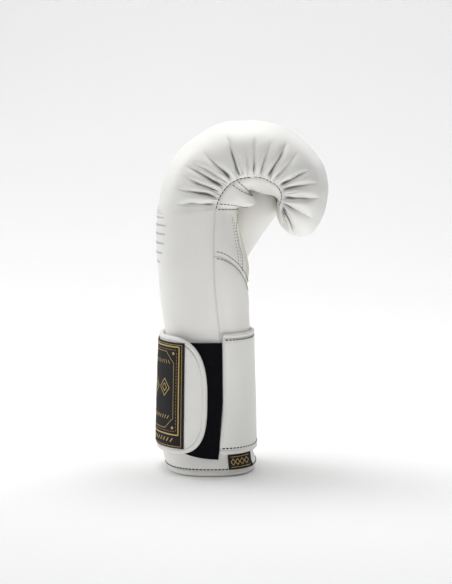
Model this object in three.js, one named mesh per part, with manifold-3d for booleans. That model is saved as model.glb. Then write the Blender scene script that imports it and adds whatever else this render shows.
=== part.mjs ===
// Boxing glove for the right hand, standing upright on its cuff.
// X runs from the back of the hand to the palm, Y from the little finger to the thumb, Z up.
// All sizes are in millimetres.

import * as THREE from 'three';
import Module from 'manifold-3d';
import { mergeVertices } from 'three/addons/utils/BufferGeometryUtils.js';

const wasm = await Module();
wasm.setup();

// Whole glove
const gloveHeight = 300;
const fistReach = 147;
const fistWidth = 126;
const seamGap = 0.3;

// Fist: padded shell, sewn to the inner panels along one seam
const fistFoot = 112;
const shellRoundness = 2.5;
const rollDepth = 14;
const rollInset = 9;
const sideWall = 10;
const panelRoundness = 2.3;
const panelWall = 6.5;
const gatherDepth = 2.4;
const fistRise = gloveHeight - fistFoot;

// Cuff, with the rolled binding that the glove stands on
const cuffDepth = 78;
const cuffWidth = 102;
const cuffWall = 8;
const cuffRoundness = 2.5;
const rollHeight = 5.6;
const rollWidth = 9.5;

// Wrist strap with its rolled edge
const strapBottom = 19;
const strapWidth = 100;
const strapThickness = 3.6;
const bindingDiameter = 4.4;
const strapStart = 10;
const strapEnd = -2.5;
const strapEndLength = 31;
const strapEndRoundness = 2.5;
const strapRampLength = 22;
const strapRise = 3;

// Loop fastener patch under the free end of the strap
const patchThickness = 2.2;
const patchEdge = 8.6;
const patchFarEdge = -21;
const patchBottom = 15;
const patchHeight = 99;

// Labels
const labelThickness = 1;
const labelEdge = -19.5;
const labelFarEdge = -25;
const labelMargin = 0.4;
const cuffLabelLength = 18.6;
const cuffLabelHeight = 12.4;
const cuffLabelCentre = 23.8;

// Thumb
const thumbWidth = 49;
const thumbRise = 62;
const thumbOut = 10;
const thumbForward = 44.6;
const thumbWall = 8;
const thumbClearance = 0.6;
const thumbRootX = -2;
const thumbRootInset = 17;
const thumbRootUp = 56;

// Sections of the fist, from the wrist up the back of the hand, over the knuckles and round the
// curl to the fingertips. back and palm are the ends of the section in the middle plane, x as a
// share of fistReach and z as a share of fistRise above fistFoot. seam is the place of the seam as
// a share of the section's depth, width a share of fistWidth, hollow the height of the hand's
// space above the seam as a share of the depth, and roll how far the shell turns under at the seam.
// The first sections, inside the strap, are shares of cuffDepth and cuffWidth instead.
const sectionsInStrap = 2;
const fistSections = [
  { back: [-0.51, 0], palm: [0.415, 0], seam: 0.34, width: 0.907, hollow: 0.45, roll: 0.1 },
  { back: [-0.512, 0.05], palm: [0.414, 0.05], seam: 0.34, width: 0.912, hollow: 0.45, roll: 0.15 },
  { back: [-0.295, 0.178], palm: [0.214, 0.178], seam: 0.353, width: 0.81, hollow: 0.41, roll: 0.2 },
  { back: [-0.309, 0.316], palm: [0.213, 0.316], seam: 0.37, width: 0.87, hollow: 0.36, roll: 0.25 },
  { back: [-0.319, 0.409], palm: [0.189, 0.409], seam: 0.335, width: 0.9, hollow: 0.35, roll: 0.4 },
  { back: [-0.32, 0.5], palm: [0.16, 0.5], seam: 0.294, width: 0.93, hollow: 0.34, roll: 0.6 },
  { back: [-0.315, 0.574], palm: [0.146, 0.574], seam: 0.266, width: 0.95, hollow: 0.33, roll: 0.8 },
  { back: [-0.31, 0.601], palm: [0.149, 0.596], seam: 0.265, width: 0.96, hollow: 0.31, roll: 0.9 },
  { back: [-0.304, 0.633], palm: [0.18, 0.613], seam: 0.305, width: 0.97, hollow: 0.28, roll: 1 },
  { back: [-0.278, 0.729], palm: [0.22, 0.623], seam: 0.343, width: 0.99, hollow: 0.25, roll: 1 },
  { back: [-0.227, 0.82], palm: [0.238, 0.638], seam: 0.335, width: 1, hollow: 0.25, roll: 1 },
  { back: [-0.157, 0.887], palm: [0.238, 0.655], seam: 0.305, width: 1, hollow: 0.25, roll: 1 },
  { back: [-0.04, 0.952], palm: [0.224, 0.67], seam: 0.253, width: 1, hollow: 0.26, roll: 1 },
  { back: [0.065, 0.991], palm: [0.222, 0.684], seam: 0.208, width: 1, hollow: 0.27, roll: 1 },
  { back: [0.193, 1], palm: [0.234, 0.692], seam: 0.193, width: 1, hollow: 0.27, roll: 1 },
  { back: [0.298, 0.998], palm: [0.259, 0.69], seam: 0.199, width: 0.99, hollow: 0.26, roll: 1 },
  { back: [0.409, 0.978], palm: [0.284, 0.684], seam: 0.203, width: 0.98, hollow: 0.25, roll: 1 },
  { back: [0.508, 0.932], palm: [0.308, 0.679], seam: 0.195, width: 0.97, hollow: 0.23, roll: 1 },
  { back: [0.59, 0.873], palm: [0.331, 0.676], seam: 0.181, width: 0.96, hollow: 0.2, roll: 1 },
  { back: [0.654, 0.802], palm: [0.354, 0.67], seam: 0.142, width: 0.94, hollow: 0.12, roll: 1 },
  { back: [0.683, 0.711], palm: [0.372, 0.661], seam: 0.103, width: 0.91, hollow: 0, roll: 1 },
  { back: [0.675, 0.629], palm: [0.382, 0.647], seam: 0.067, width: 0.88, hollow: 0, roll: 1 },
  { back: [0.648, 0.558], palm: [0.387, 0.636], seam: 0.039, width: 0.84, hollow: 0, roll: 1 },
  { back: [0.598, 0.496], palm: [0.391, 0.625], seam: 0.013, width: 0.8, hollow: 0, roll: 0.9 },
  { back: [0.528, 0.473], palm: [0.393, 0.615], seam: 0, width: 0.75, hollow: 0, roll: 0.75 },
  { back: [0.457, 0.488], palm: [0.394, 0.605], seam: 0, width: 0.7, hollow: 0, roll: 0.55 },
  { back: [0.41, 0.521], palm: [0.393, 0.597], seam: 0, width: 0.66, hollow: 0, roll: 0.35 },
  { back: [0.391, 0.551], palm: [0.391, 0.59], seam: 0, width: 0.62, hollow: 0, roll: 0.2 },
];

// Creases gathered into the seam round the curl. at counts along the sections above, length is a
// share of the way from the seam to the middle of the back, and depth a share of gatherDepth.
const gathers = [
  { at: 8, length: 0.45, depth: 0.8 },
  { at: 8.7, length: 0.5, depth: 1 },
  { at: 9.3, length: 0.5, depth: 1 },
  { at: 9.9, length: 0.55, depth: 1 },
  { at: 10.6, length: 0.5, depth: 0.9 },
  { at: 11.4, length: 0.45, depth: 0.9 },
  { at: 12.3, length: 0.6, depth: 1 },
  { at: 13.1, length: 0.4, depth: 0.8 },
  { at: 13.8, length: 0.45, depth: 0.9 },
  { at: 14.5, length: 0.6, depth: 1 },
  { at: 15.4, length: 0.5, depth: 0.9 },
  { at: 16.5, length: 0.55, depth: 1 },
  { at: 17.4, length: 0.5, depth: 0.9 },
  { at: 18.5, length: 0.6, depth: 1 },
  { at: 19.6, length: 0.6, depth: 1 },
  { at: 21, length: 0.6, depth: 1 },
  { at: 22.3, length: 0.5, depth: 0.8 },
  { at: 23.6, length: 0.4, depth: 0.5 },
];

// Inner panels, from the heel of the palm to the fingertips. from and to count along the
// sections at the seam, and dip is how much lower the edge runs in the middle of the palm.
const panels = [
  { name: 'palm_heel_panel', from: 0, fromDip: 0, to: 3.9, toDip: 1.45, steps: 5 },
  { name: 'palm_centre_panel', from: 3.9, fromDip: 1.45, to: 7.75, toDip: 0.3, steps: 7 },
  { name: 'grip_pad', from: 7.75, fromDip: 0.3, to: 11.2, toDip: -0.7, steps: 7 },
  { name: 'finger_panel', from: 11.2, fromDip: -0.7, to: 21.4, toDip: 0, steps: 12 },
];

// Outline of the cuff: height and half sizes as shares of the cuff's own named sizes.
const cuffSections = [
  { z: 0, back: 0.485, palm: 0.478, width: 0.485 },
  { z: 0.05, back: 0.5, palm: 0.495, width: 0.495 },
  { z: 0.1, back: 0.52, palm: 0.47, width: 0.48 },
  { z: 0.17, back: 0.547, palm: 0.456, width: 0.465 },
  { z: 0.5, back: 0.54, palm: 0.445, width: 0.462 },
  { z: 0.8, back: 0.526, palm: 0.43, width: 0.461 },
  { z: 1, back: 0.515, palm: 0.422, width: 0.46 },
];

// Spine of the thumb from inside the hand to the tip: forward, out and up are shares of
// thumbForward, thumbOut and thumbRise from the root, and size is a share of thumbWidth.
const thumbSections = [
  { forward: -0.2, out: -2.6, up: -0.42, size: 0.84 },
  { forward: 0, out: -0.4, up: 0, size: 0.98 },
  { forward: 0.27, out: 0.7, up: 0.34, size: 1 },
  { forward: 0.6, out: 1, up: 0.68, size: 0.96 },
  { forward: 1, out: 0.9, up: 1, size: 0.85 },
];

// Materials
const whiteLeather = new THREE.MeshStandardMaterial({ color: 0xf2f1ee, roughness: 0.45, metalness: 0 });
const innerLeather = new THREE.MeshStandardMaterial({ color: 0xe9e8e2, roughness: 0.55, metalness: 0 });
const trimLeather = new THREE.MeshStandardMaterial({ color: 0xf4f3f0, roughness: 0.4, metalness: 0 });
const loopFabric = new THREE.MeshStandardMaterial({ color: 0x17171a, roughness: 0.95, metalness: 0 });
const labelFabric = new THREE.MeshStandardMaterial({ color: 0x232226, roughness: 0.8, metalness: 0 });

// The same sections with their lengths worked out
const fistRows = fistSections.map((row, i) => {
  const depth = i < sectionsInStrap ? cuffDepth : fistReach;
  const width = i < sectionsInStrap ? cuffWidth : fistWidth;
  return {
    backX: row.back[0] * depth,
    backZ: fistFoot + row.back[1] * fistRise,
    palmX: row.palm[0] * depth,
    palmZ: fistFoot + row.palm[1] * fistRise,
    half: (row.width * width) / 2,
    seam: row.seam,
    hollow: row.hollow,
    roll: row.roll,
  };
});

// Smooth value of one column of a table at a place counted in rows
function columnAt(table, column, place) {
  const last = table.length - 1;
  const row = Math.max(0, Math.min(last - 1, Math.floor(place)));
  const t = place - row;
  const a = table[Math.max(0, row - 1)][column];
  const b = table[row][column];
  const c = table[row + 1][column];
  const d = table[Math.min(last, row + 2)][column];
  const slopeB = (c - a) / 2;
  const slopeC = (d - b) / 2;
  const t2 = t * t;
  const t3 = t2 * t;
  return (2 * t3 - 3 * t2 + 1) * b + (t3 - 2 * t2 + t) * slopeB + (3 * t2 - 2 * t3) * c + (t3 - t2) * slopeC;
}

function smoothStep(from, to, value) {
  const t = Math.max(0, Math.min(1, (value - from) / (to - from)));
  return t * t * (3 - 2 * t);
}

function signedPower(value, power) {
  return Math.sign(value) * Math.pow(Math.abs(value), power);
}

function evenSteps(from, to, count) {
  return Array.from({ length: count + 1 }, (unused, i) => from + ((to - from) * i) / count);
}

// Closed mesh from triangles, with equal corners merged and empty triangles dropped
function geometryOf(corners, triangles) {
  const positions = [];
  for (const corner of corners) {
    positions.push(corner.x, corner.y, corner.z);
  }
  let geometry = new THREE.BufferGeometry();
  geometry.setAttribute('position', new THREE.Float32BufferAttribute(positions, 3));
  geometry.setIndex(triangles.flat());
  geometry = mergeVertices(geometry, 1e-3);
  const index = geometry.getIndex().array;
  const kept = [];
  for (let i = 0; i < index.length; i += 3) {
    const [a, b, c] = [index[i], index[i + 1], index[i + 2]];
    if (a !== b && b !== c && c !== a) {
      kept.push(a, b, c);
    }
  }
  geometry.setIndex(kept);
  return geometry;
}

// Wall between an outer and an inner grid of points. Rows run along the piece, and round closes
// each row on itself.
function wallBetween(outer, inner, round) {
  const rows = outer.length;
  const count = outer[0].length;
  const corners = [...outer.flat(), ...inner.flat()];
  const offset = rows * count;
  const out = (i, j) => i * count + (j % count);
  const inn = (i, j) => offset + i * count + (j % count);
  const triangles = [];
  const quad = (a, b, c, d) => triangles.push([a, b, c], [a, c, d]);
  const spans = round ? count : count - 1;
  for (let i = 0; i < rows - 1; i++) {
    for (let j = 0; j < spans; j++) {
      quad(out(i, j), out(i, j + 1), out(i + 1, j + 1), out(i + 1, j));
      quad(inn(i, j), inn(i + 1, j), inn(i + 1, j + 1), inn(i, j + 1));
    }
    if (!round) {
      quad(out(i, 0), out(i + 1, 0), inn(i + 1, 0), inn(i, 0));
      quad(out(i, spans), inn(i, spans), inn(i + 1, spans), out(i + 1, spans));
    }
  }
  for (let j = 0; j < spans; j++) {
    quad(out(0, j), inn(0, j), inn(0, j + 1), out(0, j + 1));
    quad(out(rows - 1, j), out(rows - 1, j + 1), inn(rows - 1, j + 1), inn(rows - 1, j));
  }
  return geometryOf(corners, triangles);
}

// Solid through a row of rings, closed by a fan at each end
function solidThrough(rings) {
  const count = rings[0].length;
  const corners = rings.flat();
  const triangles = [];
  for (let i = 0; i < rings.length - 1; i++) {
    for (let j = 0; j < count; j++) {
      const next = (j + 1) % count;
      const a = i * count + j;
      const b = i * count + next;
      triangles.push([a, b, b + count], [a, b + count, a + count]);
    }
  }
  for (const [row, turn] of [[0, true], [rings.length - 1, false]]) {
    const centre = new THREE.Vector3();
    rings[row].forEach((point) => centre.addScaledVector(point, 1 / count));
    const hub = corners.push(centre) - 1;
    for (let j = 0; j < count; j++) {
      const a = row * count + j;
      const b = row * count + ((j + 1) % count);
      triangles.push(turn ? [hub, b, a] : [hub, a, b]);
    }
  }
  return geometryOf(corners, triangles);
}

// Turns a mesh's faces outwards where its rings ran the other way round
function facingOut(geometry) {
  const p = geometry.getAttribute('position');
  const index = geometry.getIndex().array;
  const a = new THREE.Vector3();
  const b = new THREE.Vector3();
  const c = new THREE.Vector3();
  let volume = 0;
  for (let i = 0; i < index.length; i += 3) {
    a.fromBufferAttribute(p, index[i]);
    b.fromBufferAttribute(p, index[i + 1]);
    c.fromBufferAttribute(p, index[i + 2]);
    volume += a.dot(b.cross(c));
  }
  if (volume < 0) {
    for (let i = 0; i < index.length; i += 3) {
      [index[i + 1], index[i + 2]] = [index[i + 2], index[i + 1]];
    }
  }
  return geometry;
}

function solidOf(geometry) {
  const vertProperties = new Float32Array(geometry.getAttribute('position').array);
  const triVerts = new Uint32Array(geometry.getIndex().array);
  return new wasm.Manifold(new wasm.Mesh({ numProp: 3, vertProperties, triVerts }));
}

function geometryFrom(solid) {
  const mesh = solid.getMesh();
  const geometry = new THREE.BufferGeometry();
  geometry.setAttribute('position', new THREE.Float32BufferAttribute(mesh.vertProperties, mesh.numProp));
  geometry.setIndex(Array.from(mesh.triVerts));
  return geometry;
}

// One section of the fist at a place counted along the table, with its frame and its sizes
function fistSection(place) {
  const value = (column) => columnAt(fistRows, column, place);
  const back = new THREE.Vector3(value('backX'), 0, value('backZ'));
  const palm = new THREE.Vector3(value('palmX'), 0, value('palmZ'));
  const across = back.clone().sub(palm);
  const depth = across.length();
  across.normalize();
  const seam = Math.max(0, value('seam')) * depth;
  const roll = Math.max(0, value('roll'));
  const half = value('half');
  const seamHalf = half - rollInset * roll;
  return {
    palm,
    across,
    depth,
    seam,
    half,
    rollTop: seam + Math.min(rollDepth * roll, (depth - seam) / 2),
    seamHalf,
    hollow: Math.max(0, value('hollow')) * depth,
    hollowHalf: seamHalf - Math.min(sideWall, seamHalf / 2),
  };
}

// Point of a section from its own two directions: r from palm to back and y across the hand
function inSection(section, r, y) {
  return section.palm.clone().addScaledVector(section.across, r).add(new THREE.Vector3(0, y, 0));
}

// Height of the puffs between the creases, from 0 in a crease to 1 on a ridge
function gatherHeight(place) {
  const first = gathers[0].at;
  const last = gathers[gathers.length - 1].at;
  if (place <= first || place >= last) {
    return 0;
  }
  const next = gathers.findIndex((gather) => gather.at > place);
  const from = gathers[next - 1];
  const to = gathers[next];
  const t = (place - from.at) / (to.at - from.at);
  const depth = from.depth + (to.depth - from.depth) * t;
  return depth * Math.pow(Math.sin(Math.PI * t), 0.7);
}

function gatherLength(place) {
  const next = gathers.findIndex((gather) => gather.at > place);
  if (next < 1) {
    return gathers[0].length;
  }
  const from = gathers[next - 1];
  const to = gathers[next];
  return from.length + ((to.length - from.length) * (place - from.at)) / (to.at - from.at);
}

// Outer side of the shell at one section, from the seam on one side over the back to the other
const rollSteps = 3;
const archSteps = 5;

function shellArc(section, place, grow) {
  const side = [];
  const depthTop = section.depth + grow;
  const half = section.half + grow;
  for (let i = 0; i < rollSteps; i++) {
    const turn = (Math.PI / 2) * (1 - i / rollSteps);
    const r = section.rollTop - (section.rollTop - section.seam) * Math.sin(turn);
    const y = half - (half - section.seamHalf - grow) * (1 - Math.cos(turn));
    side.push([r, y]);
  }
  for (let i = 0; i <= archSteps; i++) {
    const turn = (Math.PI / 2) * (i / archSteps);
    const rise = (depthTop - section.rollTop) * signedPower(Math.sin(turn), 2 / shellRoundness);
    const r = section.rollTop + rise;
    const y = half * signedPower(Math.cos(turn), 2 / shellRoundness);
    side.push([r, y]);
  }
  const top = side.length - 1;
  const puff = gatherDepth * gatherHeight(place);
  const reach = gatherLength(place);
  const raised = side.map(([r, y], i) => {
    const fade = 1 - smoothStep(0, reach, i / top);
    const lift = i === 0 ? 0 : puff * fade;
    const before = side[Math.max(0, i - 1)];
    const after = side[Math.min(top, i + 1)];
    const run = new THREE.Vector2(after[0] - before[0], after[1] - before[1]).normalize();
    return [r - run.y * lift, y + run.x * lift];
  });
  const near = raised.map(([r, y]) => inSection(section, r, -y));
  const far = raised.slice(0, -1).reverse().map(([r, y]) => inSection(section, r, y));
  return [...near, ...far];
}

// Inner side of the shell at one section: flat along the seam, with the hand's space above it
function shellHollow(section, count) {
  const points = [];
  for (let i = 0; i < count; i++) {
    const turn = Math.PI * (i / (count - 1)) - Math.PI / 2;
    const r = section.seam + section.hollow * Math.pow(Math.max(0, Math.cos(turn)), 2 / shellRoundness);
    const y = section.hollowHalf * signedPower(Math.sin(turn), 2 / shellRoundness);
    points.push(inSection(section, r, y));
  }
  return points;
}

// Places of the sections that the shell is built through: one on each crease and three between
function shellPlaces() {
  const first = gathers[0].at;
  const last = gathers[gathers.length - 1].at;
  const end = fistSections.length - 1;
  const places = [...evenSteps(0, 2, 3), ...evenSteps(2, first, 7).slice(1)];
  for (let i = 0; i < gathers.length - 1; i++) {
    places.push(...evenSteps(gathers[i].at, gathers[i + 1].at, 4).slice(1));
  }
  places.push(...evenSteps(last, end, 5).slice(1));
  return places;
}

function makeFistShell() {
  const outer = [];
  const inner = [];
  for (const place of shellPlaces()) {
    const section = fistSection(place);
    const arc = shellArc(section, place, 0);
    outer.push(arc);
    inner.push(shellHollow(section, arc.length));
  }
  return facingOut(wallBetween(outer, inner, false));
}

// Dome of an inner panel across the palm at a share of its half width, from -1 to 1
function panelPoint(place, share, lift) {
  const section = fistSection(place);
  const land = section.seam - seamGap;
  const bow = Math.pow(1 - Math.pow(Math.abs(share), panelRoundness), 1 / panelRoundness);
  const rise = Math.max(0, land - lift);
  return inSection(section, land - rise * bow, share * (section.seamHalf - lift * 0.6));
}

// One inner panel, between two edges that dip towards the middle of the palm
const panelSteps = 10;

function makePanel(panel) {
  const outer = [];
  const inner = [];
  const alongGap = seamGap / 2;
  for (let i = 0; i <= panel.steps; i++) {
    const t = i / panel.steps;
    const outerRow = [];
    const innerRow = [];
    for (let j = 0; j <= panelSteps; j++) {
      const share = -Math.cos((Math.PI * j) / panelSteps);
      const middle = 1 - share * share;
      const from = panel.from - panel.fromDip * middle;
      const to = panel.to - panel.toDip * middle;
      const spacing = panelPoint(from, share, 0).distanceTo(panelPoint(from + 0.01, share, 0)) / 0.01;
      const endSpacing = panelPoint(to, share, 0).distanceTo(panelPoint(to - 0.01, share, 0)) / 0.01;
      const start = panel.from === 0 ? from : from + alongGap / spacing;
      const place = start + (to - alongGap / endSpacing - start) * t;
      outerRow.push(panelPoint(place, share, 0));
      innerRow.push(panelPoint(place, share, panelWall));
    }
    outer.push(outerRow);
    inner.push(innerRow);
  }
  return facingOut(wallBetween(outer, inner, false));
}

// Closed skin round the whole fist, grown outwards, to trim what lies against it
function makeFistEnvelope(grow) {
  const rings = [];
  for (const place of shellPlaces()) {
    const section = fistSection(place);
    const ring = shellArc(section, place, grow);
    for (let j = 1; j < panelSteps; j++) {
      const share = Math.cos((Math.PI * j) / panelSteps);
      ring.push(panelPoint(place, share, -grow));
    }
    rings.push(ring);
  }
  return facingOut(solidThrough(rings));
}

// Thumb: a padded hollow finger along a curved spine, with a domed tip
const thumbSides = 12;
const tipSteps = 3;

function thumbCentre(place) {
  const x = thumbRootX + columnAt(thumbSections, 'forward', place) * thumbForward;
  const y = fistWidth / 2 - thumbRootInset + columnAt(thumbSections, 'out', place) * thumbOut;
  const z = fistFoot + thumbRootUp + columnAt(thumbSections, 'up', place) * thumbRise;
  return new THREE.Vector3(x, y, z);
}

function makeThumbForm(wall, steps) {
  const last = thumbSections.length - 1;
  const rings = [];
  const addRing = (centre, along, radius) => {
    const across = new THREE.Vector3(0, 1, 0).cross(along).normalize();
    const out = along.clone().cross(across).normalize();
    const ring = [];
    for (let j = 0; j < thumbSides; j++) {
      const turn = (2 * Math.PI * j) / thumbSides;
      const point = centre.clone();
      point.addScaledVector(across, radius * Math.cos(turn));
      point.addScaledVector(out, radius * Math.sin(turn));
      ring.push(point);
    }
    rings.push(ring);
  };
  for (const place of evenSteps(0, last, steps)) {
    const before = thumbCentre(Math.max(0, place - 0.05));
    const after = thumbCentre(Math.min(last, place + 0.05));
    const radius = (columnAt(thumbSections, 'size', place) * thumbWidth) / 2 - wall;
    addRing(thumbCentre(place), after.sub(before).normalize(), radius);
  }
  const tip = thumbCentre(last);
  const along = tip.clone().sub(thumbCentre(last - 0.05)).normalize();
  const tipRadius = (columnAt(thumbSections, 'size', last) * thumbWidth) / 2 - wall;
  for (let i = 1; i <= tipSteps; i++) {
    const turn = (Math.PI / 2) * (i / (tipSteps + 0.5));
    const centre = tip.clone().addScaledVector(along, tipRadius * Math.sin(turn));
    addRing(centre, along, tipRadius * Math.cos(turn));
  }
  return facingOut(solidThrough(rings));
}

// Outline of the cuff at a turn from the palm round by the thumb side, and at a height
function cuffPoint(turn, height, grow) {
  const share = Math.max(0, Math.min(1, height / fistFoot));
  const next = Math.max(1, cuffSections.findIndex((row) => row.z >= share));
  const low = cuffSections[next - 1].z;
  const place = next - 1 + (share - low) / (cuffSections[next].z - low);
  const side = Math.cos(turn) > 0 ? 'palm' : 'back';
  const halfDepth = columnAt(cuffSections, side, place) * cuffDepth + grow;
  const halfWidth = columnAt(cuffSections, 'width', place) * cuffWidth + grow;
  const x = halfDepth * signedPower(Math.cos(turn), 2 / cuffRoundness);
  const y = halfWidth * signedPower(Math.sin(turn), 2 / cuffRoundness);
  return new THREE.Vector3(x, y, height);
}

// Turn at which the outline passes a given x, on the little finger side or on the thumb side
function turnAt(x, nearSide, height = strapBottom + strapWidth / 2) {
  const half = Math.abs(cuffPoint(x > 0 ? 0 : Math.PI, height, 0).x);
  const turn = Math.acos(signedPower(x / half, cuffRoundness / 2));
  return nearSide ? 2 * Math.PI - turn : turn;
}

// Point at a distance out from the cuff, with the directions along the outline and out of it
function onCuff(turn, height, out) {
  const step = 0.02;
  const along = cuffPoint(turn + step, height, 0).sub(cuffPoint(turn - step, height, 0));
  along.z = 0;
  along.normalize();
  const normal = new THREE.Vector3(along.y, -along.x, 0);
  return { point: cuffPoint(turn, height, 0).addScaledVector(normal, out), along, normal };
}

const cuffSides = 28;

function makeCuff() {
  const base = rollHeight + seamGap;
  const top = fistFoot - seamGap;
  const heights = [0, 0.04, 0.1, 0.18, 0.5, 1].map((share) => base + share * (top - base));
  const rowAt = (height, grow) => {
    return Array.from({ length: cuffSides }, (unused, j) => {
      return cuffPoint((2 * Math.PI * j) / cuffSides, height, grow);
    });
  };
  const outer = heights.map((height) => rowAt(height, 0));
  const inner = heights.map((height) => rowAt(height, -cuffWall));
  return facingOut(wallBetween(outer, inner, true));
}

// Rolled binding under the cuff. The section is flat below, where the glove stands.
const rollSection = [
  { out: -0.25, up: 0 },
  { out: 0.25, up: 0 },
  { out: 0.45, up: 0.2 },
  { out: 0.5, up: 0.5 },
  { out: 0.42, up: 0.85 },
  { out: 0.25, up: 1 },
  { out: -0.25, up: 1 },
  { out: -0.42, up: 0.85 },
  { out: -0.5, up: 0.5 },
  { out: -0.45, up: 0.2 },
];

function makeCuffBinding() {
  const count = rollSection.length;
  const corners = [];
  const triangles = [];
  for (let i = 0; i < cuffSides; i++) {
    const turn = (2 * Math.PI * i) / cuffSides;
    for (const { out, up } of rollSection) {
      const point = cuffPoint(turn, rollHeight / 2, (out - 0.5) * rollWidth);
      point.z = up * rollHeight;
      corners.push(point);
    }
    const next = (i + 1) % cuffSides;
    for (let j = 0; j < count; j++) {
      const k = (j + 1) % count;
      triangles.push([i * count + j, next * count + j, next * count + k]);
      triangles.push([i * count + j, next * count + k, i * count + k]);
    }
  }
  return facingOut(geometryOf(corners, triangles));
}

// Way of the strap round the wrist, measured from its sewn end to its free end
const strapPath = makeStrapPath();

function makeStrapPath() {
  const startTurn = turnAt(strapStart, true) - 2 * Math.PI;
  const endTurn = turnAt(strapEnd, true);
  const height = strapBottom + strapWidth / 2;
  const samples = [{ turn: startTurn, length: 0 }];
  let before = onCuff(startTurn, height, 0).point;
  for (const turn of evenSteps(startTurn, endTurn, 400).slice(1)) {
    const here = onCuff(turn, height, 0).point;
    samples.push({ turn, length: samples[samples.length - 1].length + here.distanceTo(before) });
    before = here;
  }
  return samples;
}

function turnAtLength(length) {
  const next = strapPath.findIndex((sample) => sample.length >= length);
  if (next < 1) {
    return next === 0 ? strapPath[0].turn : strapPath[strapPath.length - 1].turn;
  }
  const a = strapPath[next - 1];
  const b = strapPath[next];
  return a.turn + ((b.turn - a.turn) * (length - a.length)) / (b.length - a.length);
}

function lengthAtTurn(turn) {
  const next = strapPath.findIndex((sample) => sample.turn >= turn);
  return strapPath[next < 0 ? strapPath.length - 1 : next].length;
}

const strapLength = strapPath[strapPath.length - 1].length;
const strapBendSteps = 26;
const strapEndSteps = 7;
const strapRows = 3;

// Distance of the middle of the strap from the cuff, more where it lies over the loop patch
function strapStandOff(length) {
  const over = lengthAtTurn(turnAt(patchFarEdge, true));
  const lift = patchThickness + seamGap;
  return seamGap + bindingDiameter / 2 + lift * smoothStep(over - strapRampLength, over, length);
}

// Point of the strap, whose upper edge rises a little towards the sewn end
function strapPoint(length, up, out) {
  const nearStart = 1 - smoothStep(0.1 * strapLength, 0.45 * strapLength, length);
  const rise = strapRise * nearStart * Math.max(0, up / (strapWidth / 2));
  const height = strapBottom + strapWidth / 2 + up + rise;
  return onCuff(turnAtLength(length), height, strapStandOff(length) + out);
}

// Places along the strap and its half height there, inset from the outer edge
function strapColumns(inset) {
  const straight = strapLength - strapEndLength;
  const half = strapWidth / 2 - inset;
  const columns = evenSteps(0, straight, strapBendSteps).map((length) => ({ length, half }));
  for (let i = 1; i <= strapEndSteps; i++) {
    const turn = (Math.PI / 2) * (i / (strapEndSteps + 0.6));
    const length = straight + (strapEndLength - inset) * signedPower(Math.sin(turn), 2 / strapEndRoundness);
    columns.push({ length, half: half * signedPower(Math.cos(turn), 2 / strapEndRoundness) });
  }
  return columns;
}

function makeStrap() {
  const columns = strapColumns(bindingDiameter + seamGap);
  const gridAt = (out) => columns.map(({ length, half }) => {
    return evenSteps(-half, half, strapRows).map((up) => strapPoint(length, up, out).point);
  });
  return facingOut(wallBetween(gridAt(strapThickness / 2), gridAt(-strapThickness / 2), false));
}

const bindingSides = 6;

function makeStrapBinding() {
  const columns = strapColumns(bindingDiameter / 2);
  const tip = { length: strapLength - bindingDiameter / 2, half: 0 };
  const top = columns.map(({ length, half }) => ({ length, up: half }));
  const bottom = columns.map(({ length, half }) => ({ length, up: -half })).reverse();
  const path = [...top, { length: tip.length, up: 0 }, ...bottom];
  const rings = path.map(({ length, up }, i) => {
    const before = path[Math.max(0, i - 1)];
    const after = path[Math.min(path.length - 1, i + 1)];
    const run = new THREE.Vector2(after.length - before.length, after.up - before.up).normalize();
    const { point, along, normal } = strapPoint(length, up, 0);
    const edge = along.clone().multiplyScalar(-run.y);
    edge.z = run.x;
    return Array.from({ length: bindingSides }, (unused, j) => {
      const turn = (2 * Math.PI * (j + 0.5)) / bindingSides;
      const corner = point.clone();
      corner.addScaledVector(normal, (bindingDiameter / 2) * Math.cos(turn));
      corner.addScaledVector(edge, (bindingDiameter / 2) * Math.sin(turn));
      return corner;
    });
  });
  return facingOut(solidThrough(rings));
}

function makeLoopPatch() {
  const from = turnAt(patchFarEdge, true);
  const to = turnAt(patchEdge, true);
  const gridAt = (out) => evenSteps(from, to, 8).map((turn) => {
    return evenSteps(patchBottom, patchBottom + patchHeight, 4).map((height) => {
      return onCuff(turn, height, seamGap + out).point;
    });
  });
  return facingOut(wallBetween(gridAt(patchThickness), gridAt(0), false));
}

// Label round the back of the strap, between its rolled edges
function makeStrapLabel() {
  const from = lengthAtTurn(turnAt(labelFarEdge, false));
  const to = lengthAtTurn(turnAt(labelEdge, true));
  const half = strapWidth / 2 - bindingDiameter - seamGap - labelMargin;
  const lengths = strapColumns(0).map((column) => column.length);
  const between = lengths.filter((length) => length > from && length < to);
  const base = strapThickness / 2 + seamGap;
  const gridAt = (out) => [from, ...between, to].map((length) => {
    return evenSteps(-half, half, strapRows).map((up) => strapPoint(length, up, base + out).point);
  });
  return facingOut(wallBetween(gridAt(labelThickness), gridAt(0), false));
}

// Small label low on the cuff, between the strap and the binding
function makeCuffLabel() {
  const middle = (strapBottom + rollHeight) / 2;
  const from = turnAt(cuffLabelCentre - cuffLabelLength / 2, true, middle);
  const to = turnAt(cuffLabelCentre + cuffLabelLength / 2, true, middle);
  const gridAt = (out) => evenSteps(from, to, 6).map((turn) => {
    return evenSteps(middle - cuffLabelHeight / 2, middle + cuffLabelHeight / 2, 2).map((height) => {
      return onCuff(turn, height, seamGap + out).point;
    });
  });
  return facingOut(wallBetween(gridAt(labelThickness), gridAt(0), false));
}

const meshes = [];

function addMesh(name, geometry, material) {
  geometry.computeVertexNormals();
  const mesh = new THREE.Mesh(geometry, material);
  mesh.name = name;
  meshes.push(mesh);
}

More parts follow.
